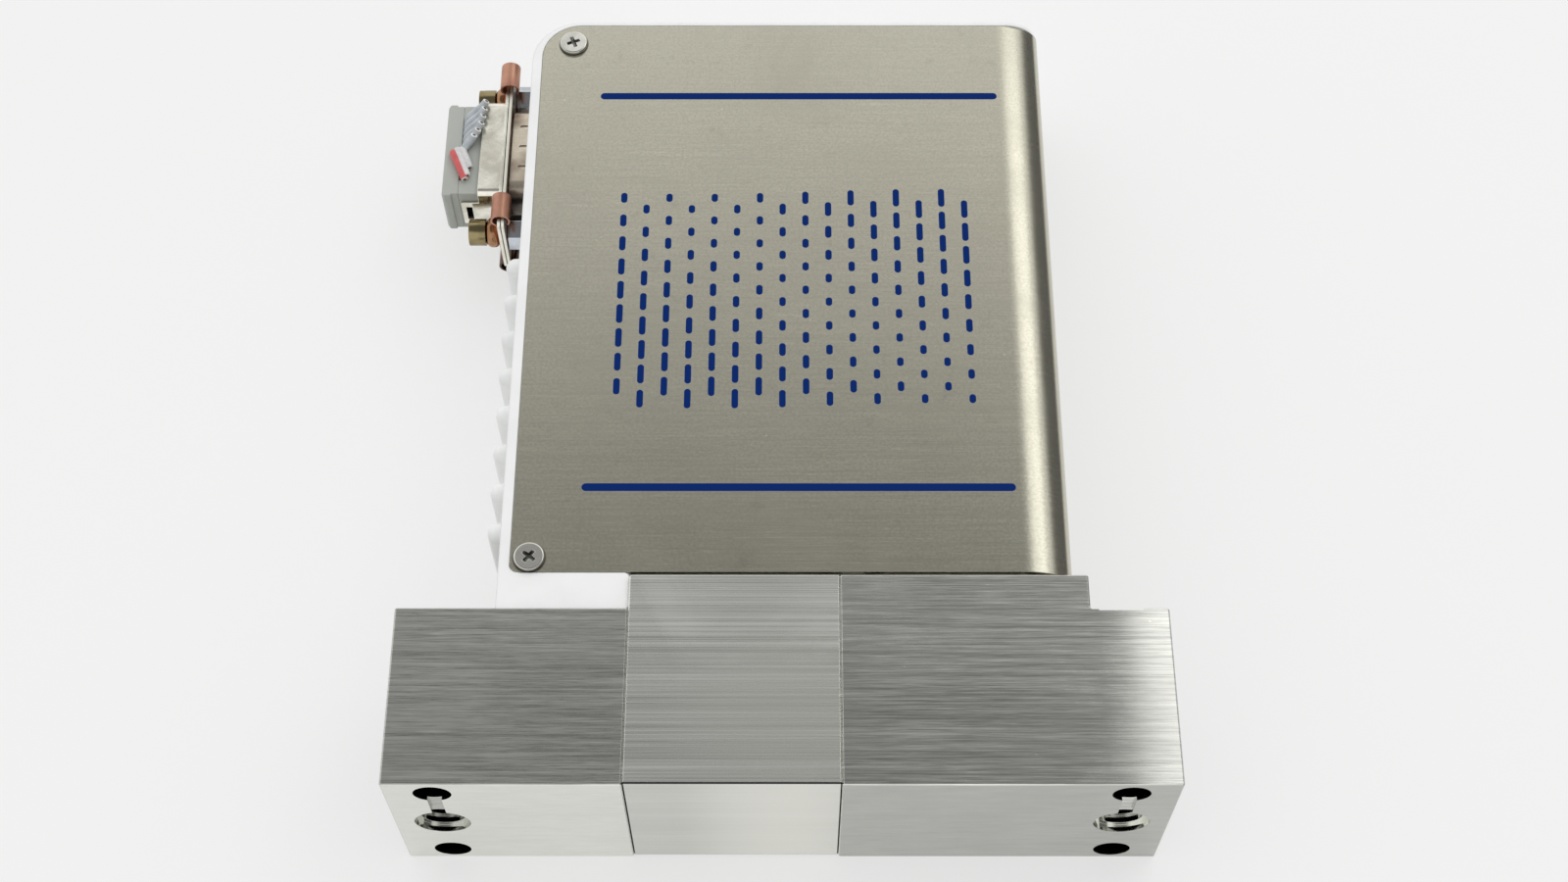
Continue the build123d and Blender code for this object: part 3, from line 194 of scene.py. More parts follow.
def choose(piece, kind, test):
    """Enters edit mode with the faces, edges or vertices that pass a test selected."""
    take(piece)
    bpy.ops.object.mode_set(mode="EDIT")
    bpy.ops.mesh.select_mode(type=kind)
    bpy.ops.mesh.select_all(action="DESELECT")
    mesh = bmesh.from_edit_mesh(piece.data)
    for item in {"FACE": mesh.faces, "EDGE": mesh.edges, "VERT": mesh.verts}[kind]:
        if test(item):
            item.select_set(True)
    mesh.select_flush_mode()
    bmesh.update_edit_mesh(piece.data)


def apply(piece, kind, **values):
    """Adds a modifier with its values and applies it."""
    take(piece)
    modifier = piece.modifiers.new(kind.title(), kind)
    for key, value in values.items():
        setattr(modifier, key, value)
    bpy.ops.object.modifier_apply(modifier=modifier.name)
    return piece


def shaded(piece):
    """Shades a piece smooth over its rounded parts and keeps its flat faces flat."""
    take(piece)
    bpy.ops.object.shade_smooth_by_angle(angle=math.radians(30))
    return apply(piece, "WEIGHTED_NORMAL", keep_sharp=True)


def soften(piece, width, segments=2, angle=38):
    """Rounds a piece's sharp edges by a width in millimetres and shades it smooth between them."""
    apply(piece, "BEVEL", width=width * MM, segments=segments, limit_method="ANGLE",
          angle_limit=math.radians(angle))
    return shaded(piece)


def cut(piece, cutter):
    """Takes a cutter out of a piece and removes the cutter."""
    apply(piece, "BOOLEAN", operation="DIFFERENCE", object=cutter, solver="EXACT")
    bpy.data.objects.remove(cutter)
    return piece


def joined(name, pieces):
    """Several pieces as one."""
    take(pieces[0])
    for piece in pieces[1:]:
        piece.select_set(True)
    bpy.ops.object.join()
    pieces[0].name = name
    return pieces[0]


def stood(name, data):
    """A new object in the scene that holds some data."""
    made = bpy.data.objects.new(name, data)
    bpy.context.scene.collection.objects.link(made)
    return made


def copied(piece, name):
    """A copy with its own mesh."""
    copy = piece.copy()
    copy.data = piece.data.copy()
    copy.name = name
    bpy.context.scene.collection.objects.link(copy)
    return copy


def merged_copy(node, name):
    """A copy of a frame node with its loose triangles merged into whole faces."""
    piece = copied(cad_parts[node], name)
    for key in list(piece.keys()):
        del piece[key]
    piece.parent = None
    take(piece)
    bpy.ops.object.mode_set(mode="EDIT")
    bpy.ops.mesh.select_all(action="SELECT")
    bpy.ops.mesh.remove_doubles(threshold=0.000002)
    bpy.ops.mesh.dissolve_limited(angle_limit=math.radians(0.5))
    bpy.ops.object.mode_set(mode="OBJECT")
    return piece


def finish_piece(piece, material, slot, *nodes):
    """Gives a piece its finish, lets it ride on the body and hides the nodes it stands for."""
    piece.data.materials.clear()
    piece.data.materials.append(material)
    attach(piece, "body")
    if nodes:
        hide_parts(*nodes)
    rest()


def refine(node, name, width, segments, material, slot):
    """Stands a copy of a frame node in its place, with rounded edges and a finish."""
    finish_piece(soften(merged_copy(node, name), width, segments), material, slot, node)


def dress(material, *nodes):
    """Gives frame nodes a finish."""
    for node in nodes:
        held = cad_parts[node]
        if held.material_slots:
            held.material_slots[0].material = material
        else:
            held.data.materials.append(material)


# ------------------------------------------------------------------ shading steps
def sign(operation):
    """A sign of plain arithmetic that stands for a sum on shader values."""
    return lambda value, *other: value.by(operation, *other)


class Value:
    """What a shader node puts out, which takes the signs of plain arithmetic."""

    def __init__(self, socket):
        self.socket, self.tree = socket, socket.id_data

    def by(self, operation, second=0.0, third=0.0):
        """The result of one sum on this value and up to two more."""
        return Value(node(self.tree, "Math", {0: self, 1: second, 2: third}, operation=operation).outputs[0])

    def __rsub__(self, whole):
        """A number less this value."""
        return Value(node(self.tree, "Math", {0: whole, 1: self, 2: 0.0}, operation="SUBTRACT").outputs[0])

    __add__, __sub__, __mul__, __truediv__ = sign("ADD"), sign("SUBTRACT"), sign("MULTIPLY"), sign("DIVIDE")
    __abs__, __gt__, __lt__ = sign("ABSOLUTE"), sign("GREATER_THAN"), sign("LESS_THAN")


def fill(made, inputs):
    """Links or fills a node's inputs."""
    for key, value in dict(inputs).items():
        value, socket = getattr(value, "socket", value), made.inputs[key]
        if isinstance(value, bpy.types.NodeSocket):
            made.id_data.links.new(value, socket)
        elif socket.type == "RGBA":
            socket.default_value = (*value, 1.0)
        else:
            socket.default_value = value


def node(tree, kind, inputs=(), **settings):
    """Adds a shader node, sets it, and links or fills its inputs."""
    made = tree.nodes.new("ShaderNode" + kind)
    for key, value in settings.items():
        setattr(made, key, value)
    fill(made, inputs)
    return made


def values(made):
    """A node's outputs by name."""
    return {out.name: Value(out) for out in made.outputs}


def noise(place, scale, detail=2.0, roughness=0.5, distortion=0.0):
    """A noise over a place, between 0 and 1."""
    return Value(node(place.tree, "TexNoise", {
        "Vector": place, "Scale": scale, "Detail": detail, "Roughness": roughness,
        "Distortion": distortion}).outputs[0])


def mapped(place, scale, turn=(0, 0, 0)):
    """A place turned and stretched."""
    return Value(node(place.tree, "Mapping", {"Vector": place, "Rotation": turn, "Scale": scale}).outputs[0])


def split(place):
    """The place along each axis."""
    return values(node(place.tree, "SeparateXYZ", {0: place}))


def distance(across, up):
    """How far off a place is by its two sides."""
    return (across * across + up * up).by("SQRT")


def spread(value, low, high, start=0.0, end=1.0, ease="LINEAR"):
    """A value stretched from between a start and an end to between a low and a high."""
    return Value(node(value.tree, "MapRange", {
        "Value": value, "From Min": start, "From Max": end, "To Min": low, "To Max": high},
        interpolation_type=ease).outputs[0])


def rising(value, start, end, ease="LINEAR"):
    """A mask that rises from 0 to 1 between a start and an end."""
    return spread(value, 0.0, 1.0, start, end, ease)


def blended(factor, first, second):
    """One number over another by a factor."""
    return Value(node(factor.tree, "Mix", {0: factor, 2: first, 3: second}).outputs[0])


def mixed(factor, first, second, blend="MIX"):
    """One colour over another by a factor."""
    return node(factor.tree, "Mix", {0: factor, 6: first, 7: second}, data_type="RGBA",
                blend_type=blend).outputs[2]


def shade(tint, amount):
    """A tint made lighter or darker."""
    return tuple(min(1.0, channel * amount) for channel in tint)


def effect(name, inputs, outputs):
    """A new shader node group with named inputs and numbers as outputs: its inputs and its last node."""
    group = bpy.data.node_groups.new(name, "ShaderNodeTree")
    for label, kind, default in inputs:
        socket = group.interface.new_socket(name=label, in_out="INPUT", socket_type="NodeSocket" + kind)
        if default is not None:
            socket.default_value = default
    for label in outputs:
        group.interface.new_socket(name=label, in_out="OUTPUT", socket_type="NodeSocketFloat")
    return values(group.nodes.new("NodeGroupInput")), group.nodes.new("NodeGroupOutput")


def brushed_lines():
    """Long fine scratches that run one way, with a slow drift of tone."""
    given, out = effect("brushed lines", [("Stretched", "Vector", None), ("Place", "Vector", None)],
                        ("Streak", "Drift", "Scratch"))
    long_way, place = given["Stretched"], given["Place"]
    coarse, fine = noise(long_way, 1.0, 5.0, 0.72), noise(long_way, 2.7, 3.0, 0.6)
    bands = noise(long_way, 0.26)
    nicks = noise(mapped(place, (90, 900, 90), (0.3, 0.5, 0.9)), 1.0)
    fill(out, {"Streak": coarse * 0.50 + fine * 0.30 + bands * 0.20,
               "Drift": noise(place, 55.0, 3.0, 0.55), "Scratch": rising(nicks, 0.69, 0.76)})
    return out.id_data


def edge_rub():
    """A mask along edges, where a finish is rubbed bright."""
    given, out = effect("edge rub", [("Radius", "Float", 0.15 * MM)], ("Rub",))
    soft = node(out.id_data, "Bevel", {"Radius": given["Radius"]}, samples=4).outputs[0]
    plain = node(out.id_data, "NewGeometry").outputs["Normal"]
    dot = node(out.id_data, "VectorMath", {0: soft, 1: plain}, operation="DOT_PRODUCT").outputs["Value"]
    fill(out, {"Rub": rising(Value(dot), 0.995, 0.86)})
    return out.id_data


def moulded_grain():
    """Fine spark texture and slow waviness of a moulded surface."""
    given, out = effect("moulded grain", [("Place", "Vector", None)], ("Grain", "Tone"))
    fill(out, {"Grain": noise(given["Place"], 5200.0, 2.0, 0.6),
               "Tone": noise(given["Place"], 120.0, 4.0, 0.55)})
    return out.id_data


def handling():
    """Faint finger smudges and specks of dust."""
    given, out = effect("handling", [("Place", "Vector", None)], ("Smudge", "Speck"))
    place = given["Place"]
    dots = values(node(place.tree, "TexVoronoi", {"Vector": place, "Scale": 420.0}))["Distance"]
    fill(out, {"Smudge": rising(noise(place, 38.0, 5.0, 0.6, 0.8), 0.52, 0.72),
               "Speck": rising(dots, 0.075, 0.03) * rising(noise(place, 140.0, 1.0), 0.60, 0.64)})
    return out.id_data


def grouped(tree, build, **inputs):
    """The outputs of a shared effect placed in a tree; the effect is built when first asked for."""
    group = bpy.data.node_groups.get(build.__name__.replace("_", " ")) or build()
    return values(node(tree, "Group", inputs, node_tree=group))


def blank(name):
    """A new material with its shader and the piece's own coordinates."""
    material = bpy.data.materials.new(name)
    material.use_nodes = True
    tree = material.node_tree
    return material, tree.nodes["Principled BSDF"], values(node(tree, "TexCoord"))["Object"]


def relief(shader, height, depth):
    """A bump of a depth in millimetres on a shader."""
    fill(shader, {"Normal": node(shader.id_data, "Bump", {
        "Strength": 1.0, "Distance": depth * MM, "Height": height}).outputs[0]})


def rounding(tree, radius):
    """A surface's direction as if its edges were rounded by a radius in millimetres."""
    return node(tree, "Bevel", {"Radius": radius * MM}, samples=6).outputs[0]


def underlay(shader, normal):
    """Puts a wider rounding under a shader's fine bump."""
    fill(shader.inputs["Normal"].links[0].from_node, {"Normal": normal})


def overlay(material, mask, tint):
    """Lays a tint over a finish where a mask says."""
    shader = material.node_tree.nodes["Principled BSDF"]
    fill(shader, {"Base Color": mixed(mask, shader.inputs["Base Color"].links[0].from_socket, tint)})


def facing(tree, axis):
    """How far a surface faces along an axis."""
    return split(values(node(tree, "NewGeometry"))["Normal"])[axis]


def places(tree):
    """The place on a piece, along each axis."""
    return split(values(node(tree, "TexCoord"))["Object"])


def from_screws(parts):
    """The distance from the nearest cover screw's axis."""
    first, second = [distance(parts["X"] - x * MM, parts["Y"] - y * MM) for x, y in COVER_SCREWS]
    return first.by("MINIMUM", second)


def brushed_metal(name, tint, stretch, contrast, roughness, depth, rub=None, smudge=0.05, scratch=0.5):
    """Brushed metal whose lines follow the long direction of a stretch in lines per metre."""
    material, shader, place = blank(name)
    lines = grouped(place.tree, brushed_lines, Stretched=mapped(place, stretch), Place=place)
    marks = grouped(place.tree, handling, Place=place)
    edges = grouped(place.tree, edge_rub, Radius=rub or bpy.context.scene.flow_metals.rub)
    streak = rising(lines["Streak"], 0.40, 0.60)
    tone = mixed(streak, shade(tint, 1 - contrast), shade(tint, 1 + contrast))
    for mask, amount in ((spread(lines["Drift"], 0.0, 0.30, 0.35, 0.7), 0.86),
                         (marks["Smudge"] * smudge, 0.7), (lines["Scratch"] * scratch, 1.35),
                         (marks["Speck"] * 0.6, 1.5), (edges["Rub"] * 0.55, 1.4)):
        tone = mixed(mask, tone, shade(tint, amount))
    rough = spread(streak, *roughness) + marks["Smudge"] * 0.05
    fill(shader, {"Base Color": tone, "Roughness": rough, "Metallic": 1.0})
    relief(shader, lines["Streak"], depth)
    return material, shader, place, tone, rough


def plated_metal(name, tint, roughness, waviness=0.02, tarnish=None, pitch=260.0, rim=None):
    """Plated or polished metal with a faint wave, tarnish in patches and rubbed edges."""
    material, shader, place = blank(name)
    wave, fine = noise(place, pitch, 3.0, 0.5, 0.3), noise(place, pitch * 9, 3.0, 0.65)
    edges = grouped(place.tree, edge_rub, Radius=bpy.context.scene.flow_metals.rub)
    patch = rising(wave, 0.40, 0.66)
    tone = mixed(patch, shade(tint, 1.08), tarnish or shade(tint, 0.80))
    tone = mixed(spread(fine, 0.0, 0.35, 0.4, 0.7), tone, shade(tint, 0.9))
    tone = mixed(edges["Rub"] * 0.5, tone, shade(tint, 1.3))
    if rim:
        tone = mixed(spread(facing(place.tree, "X"), 1.0, 0.0, 0.4, 0.8), tone, rim)
    fill(shader, {"Base Color": tone, "Metallic": 1.0,
                  "Roughness": spread(patch, *roughness) + fine * 0.08})
    relief(shader, wave, waviness)
    return material


def moulding(name, tint, roughness, depth=0.006, edge=0.0, lighten=1.12):
    """Moulded plastic with fine spark grain, a slow tone and lighter handled edges."""
    material, shader, place = blank(name)
    grain = grouped(place.tree, moulded_grain, Place=place)
    marks = grouped(place.tree, handling, Place=place)
    edges = grouped(place.tree, edge_rub, Radius=0.3 * MM)
    tone = mixed(rising(grain["Tone"], 0.35, 0.65), shade(tint, 0.965), shade(tint, 1.02))
    tone = mixed(marks["Smudge"] * 0.05, tone, shade(tint, 0.86))
    tone = mixed(edges["Rub"] * 0.5, tone, shade(tint, lighten))
    fill(shader, {"Base Color": tone, "Roughness": spread(grain["Grain"], *roughness, 0.3, 0.7)})
    relief(shader, grain["Grain"], depth)
    if edge:
        underlay(shader, rounding(place.tree, edge))
    return material


def wound_wire(name, tint, turns):
    """Fine enamelled wire laid in even turns along Y."""
    material, shader, place = blank(name)
    rows = values(node(place.tree, "TexWave", {"Vector": place, "Scale": turns, "Distortion": 0.3,
                                               "Detail": 1.0}, wave_type="BANDS", bands_direction="Y"))["Fac"]
    fill(shader, {"Base Color": mixed(rows, shade(tint, 0.55), shade(tint, 1.25)), "Metallic": 0.7,
                  "Roughness": spread(rows, 0.45, 0.28)})
    relief(shader, rows, 0.05)
    return material


# ------------------------------------------------------------------ finishes of this controller
def around_ports(parts):
    """A mask round the two gas ports, whose bores and seal pockets are polished, and the screw holes."""
    away = abs(parts["X"]) - PORT_X * MM
    ring = spread(distance(away, parts["Z"]), 1.0, 0.0, 3.86 * MM, 3.92 * MM)
    hole = distance(away, abs(parts["Z"]) - HOLE_Z * MM)
    bore = spread(hole, 1.0, 0.0, 2.60 * MM, 2.66 * MM)
    sunk = rising(parts["Y"], 0.02 * MM, 0.10 * MM)
    return (ring * (parts["Y"] < PORT_DEPTH * MM)).by("MAXIMUM", bore) * sunk


def block_finish(name, stretch, contrast, tint, roughness, satin_tint, ports=False, face=None,
                 lapped=0.0):
    """Machined stainless of one base block: brushed sides and a satin mounting face."""
    material, shader, place, tone, rough = brushed_metal(
        name, tint, stretch, contrast, roughness, depth=0.0025, rub=0.2 * MM, scratch=0.35)
    tree, parts = place.tree, split(place)
    level = (face or 0.05) * MM
    below = spread(parts["Y"], 1.0, 0.0, level, level + 0.02 * MM)
    satin = mixed(below * 0.8, tone, satin_tint)
    gloss = blended(below, rough, 0.30)
    if ports:
        polished = around_ports(parts)
        satin = mixed(polished, satin, shade(tint, 1.25))
        # painted shade: inside the ports and mounting holes the steel is painted near black from 1.6 mm below
        # the face
        depth = spread(parts["Y"], 0.0, 0.92, 1.6 * MM, 2.6 * MM)
        satin = mixed(polished * depth, satin, (0.02, 0.02, 0.02))
        gloss = blended(polished, gloss, 0.07)
    rounded = rounding(tree, 0.09)
    if lapped:
        past = (parts["X"] - LAPPED_FROM * MM).by("MAXIMUM")
        fall = past * past * ((abs(facing(tree, "Z")) > 0.5) * -lapped)
        rounded = node(tree, "Bump", {"Strength": 1.0, "Distance": 1.0, "Height": fall,
                                      "Normal": rounded}).outputs[0]
    underlay(shader, rounded)
    if face:
        # painted highlight: a pool of light laid lighter over the centre block
        middle, reach = PAINTED_LIGHT_PATCH
        broad = (parts["X"] - middle[0] * MM) / (reach[0] * MM)
        tall = (parts["Y"] - middle[1] * MM) / (reach[1] * MM)
        painted_light_pool = spread(broad * broad + tall * tall, 0.8, 0.0, 0.0, 1.8, "SMOOTHSTEP")
        satin = mixed(painted_light_pool, satin, (0.94, 0.94, 0.865), "LIGHTEN")
        # painted shade: the chamfer along the mounting face is painted near black, standing in for the dark
        # it reflects
        painted_chamfer_shade = facing(tree, "Y").by("COMPARE", -0.707, 0.25)
        satin = mixed(painted_chamfer_shade, satin, (0.03, 0.03, 0.03))
    fill(shader, {"Base Color": satin, "Roughness": gloss})
    return material


def bar_mask(parts, middle, half, radius):
    """A mask of a round-ended bar along X at a middle, all in millimetres."""
    along = (abs(parts["X"] - middle[0] * MM) - (half - radius) * MM).by("MAXIMUM")
    gap = distance(along, parts["Y"] - middle[1] * MM)
    return spread(gap, 1.0, 0.0, (radius - 0.02) * MM, (radius + 0.02) * MM)


def dash_field(parts):
    """A mask of short upright dashes in staggered columns that swell towards a slanted band."""
    left, right, low, wide, tall = 25.5 * MM, 28.9 * MM, 54.5 * MM, 3.4 * MM, 4.1 * MM
    column = (parts["X"] + left) / wide
    number = column.by("FLOOR")
    row = (parts["Y"] - low) / tall + number.by("MODULO", 2.0) * 0.5
    level = row.by("FLOOR")
    in_x, in_y = (column.by("FRACT") - 0.5) * wide, (row.by("FRACT") - 0.5) * tall
    half = spread((number * 0.30 + level * 0.42).by("SINE"), 0.25 * MM, 1.15 * MM, -1.0, 1.0)
    gap = distance((abs(in_y) - half).by("MAXIMUM"), in_x)
    inside = (parts["X"] > -left) * (parts["X"] < right) * (level > 0.5) * (level < 9.5)
    return spread(gap, 1.0, 0.0, 0.46 * MM, 0.50 * MM) * inside


def cover_finish():
    """Brushed sheet with two printed rules and a field of dashes on its upper side."""
    metals, tint = bpy.context.scene.flow_metals, bpy.context.scene.flow_metals.cover_steel
    material, shader, place, tone, rough = brushed_metal(
        "brushed_cover", tint, (150.0, 1 / metals.grain * 3.0, 400.0), 0.10, (0.17, 0.24), depth=0.003,
        smudge=0.32, scratch=0.3)
    parts = split(place)
    for mask, laid in (
            (spread(noise(place, 2600.0, 3.0), 0.0, 0.7, 0.42, 0.62), shade(tint, 0.86)),
            (spread(noise(place, 230.0, 6.0, 0.75), 0.0, 0.5, 0.58, 0.74), shade(tint, 0.70)),
            # painted shadow: a dark ring on the sheet round each screw head
            (spread(from_screws(parts), 0.85, 0.0, 2.16 * MM, 2.40 * MM), (0.04, 0.035, 0.03)),
            # painted shade: faces turned to -X, the sheet's edge beside the housing, are painted dark
            (spread(facing(place.tree, "X"), 1.0, 0.0, -0.8, -0.45), (0.05, 0.045, 0.04))):
        tone = mixed(mask, tone, laid)
    rules = [bar_mask(parts, middle, half, 0.62) for middle, half in PRINTED_RULES]
    printed = rules[0].by("MAXIMUM", rules[1]).by("MAXIMUM", dash_field(parts))
    printed = printed * (parts["Z"] > (COVER_FACE - 0.1) * MM)
    fill(shader, {"Base Color": mixed(printed, tone, bpy.context.scene.flow_plastics.print_blue),
                  "Metallic": 1.0 - printed, "Roughness": blended(printed, rough, 0.42),
                  "Specular IOR Level": 0.05})
    return material


def ribbon_finish(name, tint):
    """Soft vinyl jacket with a faint drawn sheen."""
    material, shader, place = blank(name)
    cloud = noise(place, 900.0, 4.0)
    tone = mixed(rising(cloud, 0.35, 0.65), shade(tint, 0.88), shade(tint, 1.10))
    edges = grouped(place.tree, edge_rub, Radius=0.1 * MM)
    fill(shader, {"Base Color": mixed(edges["Rub"] * 0.7, tone, (0.85, 0.83, 0.78)),
                  "Roughness": spread(cloud, 0.30, 0.45), "Coat Weight": 0.15})
    relief(shader, cloud, 0.02)
    return material


# ------------------------------------------------------------------ operators, one for each piece
class FLOW_OT_base_blocks(bpy.types.Operator):
    """Finish the three machined base blocks and the screws that tie them"""
    bl_idname = "flow.base_blocks"
    bl_label = "Base blocks"

    def execute(self, context):
        metals = context.scene.flow_metals
        lines, steel = 1 / metals.grain, metals.block_steel
        dress(block_finish("inlet_block_steel", (115.0, lines * 1.2, 600.0), 0.32, shade(steel, 0.92),
                           (0.24, 0.34), shade(steel, 1.5), ports=True), "inlet_block")
        dress(block_finish("center_block_steel", (12.0, lines * 0.8, 400.0), 0.22, shade(steel, 1.48),
                           (0.22, 0.30), shade(steel, 1.05), face=0.30), "center_block")
        dress(block_finish("outlet_block_steel", (95.0, lines * 1.1, 600.0), 0.34, shade(steel, 1.12),
                           (0.18, 0.26), shade(steel, 0.79), ports=True, lapped=8.0), "outlet_block")
        dress(plated_metal("tie_screw_steel", (0.30, 0.30, 0.30), (0.28, 0.42)), "tie_screws")
        return {"FINISHED"}


class FLOW_OT_cover_sheet(bpy.types.Operator):
    """Model the folded cover from one sheet: two bends, round corners, screw holes and broken edges"""
    bl_idname = "flow.cover_sheet"
    bl_label = "Cover sheet"

    def execute(self, context):
        sizes = context.scene.flow_pieces
        low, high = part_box("steel_cover")
        squat = sizes.bend_drop / sizes.bend_reach
        stretch = Vector((1, 1, 1 / squat))
        sheet = bar("cover_sheet", low * stretch / MM, high * stretch / MM)
        choose(sheet, "FACE", lambda f: f.normal.x < -0.5 or abs(f.normal.y) > 0.5)
        bpy.ops.mesh.delete(type="FACE")
        choose(sheet, "EDGE", lambda e: all(v.co.x > high.x - MM for v in e.verts)
               and abs(e.verts[0].co.y - e.verts[1].co.y) > MM)
        bpy.ops.mesh.bevel(offset=sizes.bend_reach, segments=24, profile=0.5, affect="EDGES")
        bpy.ops.mesh.select_all(action="SELECT")
        bpy.ops.transform.resize(value=(1, 1, squat), center_override=(0, 0, 0))
        for edge, radius in ((high.y, sizes.top_corner), (low.y, sizes.low_corner)):
            choose(sheet, "VERT", lambda v: v.co.x < low.x + MM * 0.1 and abs(v.co.y - edge) < MM * 0.1)
            bpy.ops.mesh.bevel(offset=radius, segments=12, profile=0.5, affect="VERTICES")
        bpy.ops.mesh.select_all(action="SELECT")
        bpy.ops.mesh.normals_make_consistent(inside=False)
        apply(sheet, "SOLIDIFY", thickness=sizes.sheet, offset=-1.0, use_even_offset=True)
        hole = 1.4 * MM
        for x, y in COVER_SCREWS:
            cut(sheet, round_bar("cutter", (x * MM, y * MM, 0), hole, 0.04, sides=32))
        soften(sheet, 0.28, 4)
        finish_piece(sheet, cover_finish(), "cover_steel", "steel_cover")
        return {"FINISHED"}


class FLOW_OT_end_housing(bpy.types.Operator):
    """Fill the white end housing's recess behind the cover's low corners and give it its moulded finish"""
    bl_idname = "flow.end_housing"
    bl_label = "End housing"

    def execute(self, context):
        body = merged_copy("housing", "end_housing")
        corner, middle, radius, recess = (-37.6, 31.05), (-36.15, 32.5), 1.42, 12.0
        for low, high in ((recess, COVER_FACE), (-COVER_FACE, -recess)):
            web = bar("web", (*corner, low), (*middle, high))
            cut(web, round_bar("cutter", (middle[0] * MM, middle[1] * MM, 0), radius * MM, 0.04))
            apply(body, "BOOLEAN", operation="UNION", object=web, solver="EXACT")
            bpy.data.objects.remove(web)
        shaded(body)
        white = moulding("white_moulding", context.scene.flow_plastics.white, (0.34, 0.46), depth=0.004,
                         edge=0.35, lighten=1.03)
        finish_piece(body, white, "white_moulding", "housing")
        return {"FINISHED"}


class FLOW_OT_cover_screws(bpy.types.Operator):
    """Model one cross-recessed pan head and set a copy at each corner of the cover"""
    bl_idname = "flow.cover_screws"
    bl_label = "Cover screws"

    def execute(self, context):
        sizes = context.scene.flow_pieces
        rise, seat = sizes.screw_rise, COVER_FACE * MM
        head = round_bar("cover_screw", (0, 0, rise / 2), sizes.screw_head, rise, sides=72)
        choose(head, "EDGE", lambda e: all(v.co.z > rise * 0.9 for v in e.verts)
               and all(v.co.xy.length > sizes.screw_head * 0.9 for v in e.verts))
        bpy.ops.mesh.bevel(offset=rise * 0.42, segments=6, profile=0.55, affect="EDGES")
        rest()
        arm, half_wide, floor, above = sizes.cross / MM / 2, 0.34, 0.10, 1.2
        for turn in (0, 90):
            wing = bar("recess", (-arm, -half_wide, floor), (arm, half_wide, above))
            choose(wing, "FACE", lambda f: f.normal.z < -0.5)
            bpy.ops.transform.resize(value=(0.55, 0.6, 1), center_override=(0, 0, 0.12 * MM))
            rest()
            wing.rotation_euler.z = math.radians(turn)
            cut(head, settle(wing))
        soften(head, 0.05, 2, angle=32)
        shank = round_bar("shank", (0, 0, -1.9 * MM), 1.15 * MM, 3.9 * MM, sides=32)
        joined("cover_screw", [head, shank])
        finish = plated_metal("screw_steel", context.scene.flow_metals.screw, (0.12, 0.26))
        parts = places(finish.node_tree)
        away, recess, rim = from_screws(parts), 1.35 * MM, (2.02 * MM, 2.12 * MM)
        # painted shade: the cross recess is painted near black
        sunk = (away < recess) * (abs(parts["Z"]) < seat + rise - 0.06 * MM)
        overlay(finish, sunk * 0.80, (0.03, 0.03, 0.03))
        # painted shade: the head's side wall, past its rim, is painted dark
        overlay(finish, spread(away, 0.0, 0.6, *rim), (0.05, 0.05, 0.045))
        sides, turns = (1, 1, -1, -1), (22, 52, 10, 70)
        for number, ((x, y), side, turn) in enumerate(zip(COVER_SCREWS * 2, sides, turns)):
            screw = copied(head, "cover_screw_%d" % (number + 1))
            screw.rotation_euler = (0 if side > 0 else math.pi, 0, math.radians(turn))
            screw.location = (x * MM, y * MM, side * seat)
            finish_piece(settle(screw), finish, "screw_steel", "cover_screws")
        bpy.data.objects.remove(head)
        return {"FINISHED"}


class FLOW_OT_plug_moulding(bpy.types.Operator):
    """Round the grey body and cap of the ribbon plug and paint shade into the body's latch pockets"""
    bl_idname = "flow.plug_moulding"
    bl_label = "Plug moulding"

    def execute(self, context):
        grey = moulding("grey_moulding", context.scene.flow_plastics.grey, (0.42, 0.58), depth=0.010)
        parts = places(grey.node_tree)
        (along_y, height), pocket_x = PLUG_MIDDLE, -48.95
        half_wide, half_tall, inner_end = 0.67, 1.82, 7.1
        # painted shade: the latch pockets in the body are painted near black
        painted_pocket_shade = (parts["X"].by("COMPARE", pocket_x * MM, half_wide * MM)
                  * parts["Z"].by("COMPARE", height * MM, half_tall * MM)
                  * (abs(parts["Y"] - along_y * MM) > inner_end * MM))
        overlay(grey, painted_pocket_shade, (0.012, 0.012, 0.012))
        refine("plug_body", "plug_body_moulding", 0.12, 2, grey, "grey_plastic")
        refine("plug_cap", "plug_cap_moulding", 0.18, 3, grey, "grey_plastic")
        return {"FINISHED"}


class FLOW_OT_plug_shells(bpy.types.Operator):
    """Round the plug's two drawn shells and plate them, one bright and one brown"""
    bl_idname = "flow.plug_shells"
    bl_label = "Plug shells"

    def execute(self, context):
        metals = context.scene.flow_metals
        nickel = plated_metal("bright_nickel", metals.nickel, (0.12, 0.26), 0.08,
                              tarnish=(0.66, 0.63, 0.54))
        brown = plated_metal("brown_passivate", metals.passivate, (0.26, 0.38), 0.03,
                             tarnish=(0.14, 0.09, 0.055), rim=metals.nickel)
        refine("plug_rear_shell", "rear_shell", 0.10, 3, nickel, "nickel_plate")
        refine("plug_front_shell", "front_shell", 0.10, 3, brown, "nickel_plate")
        return {"FINISHED"}


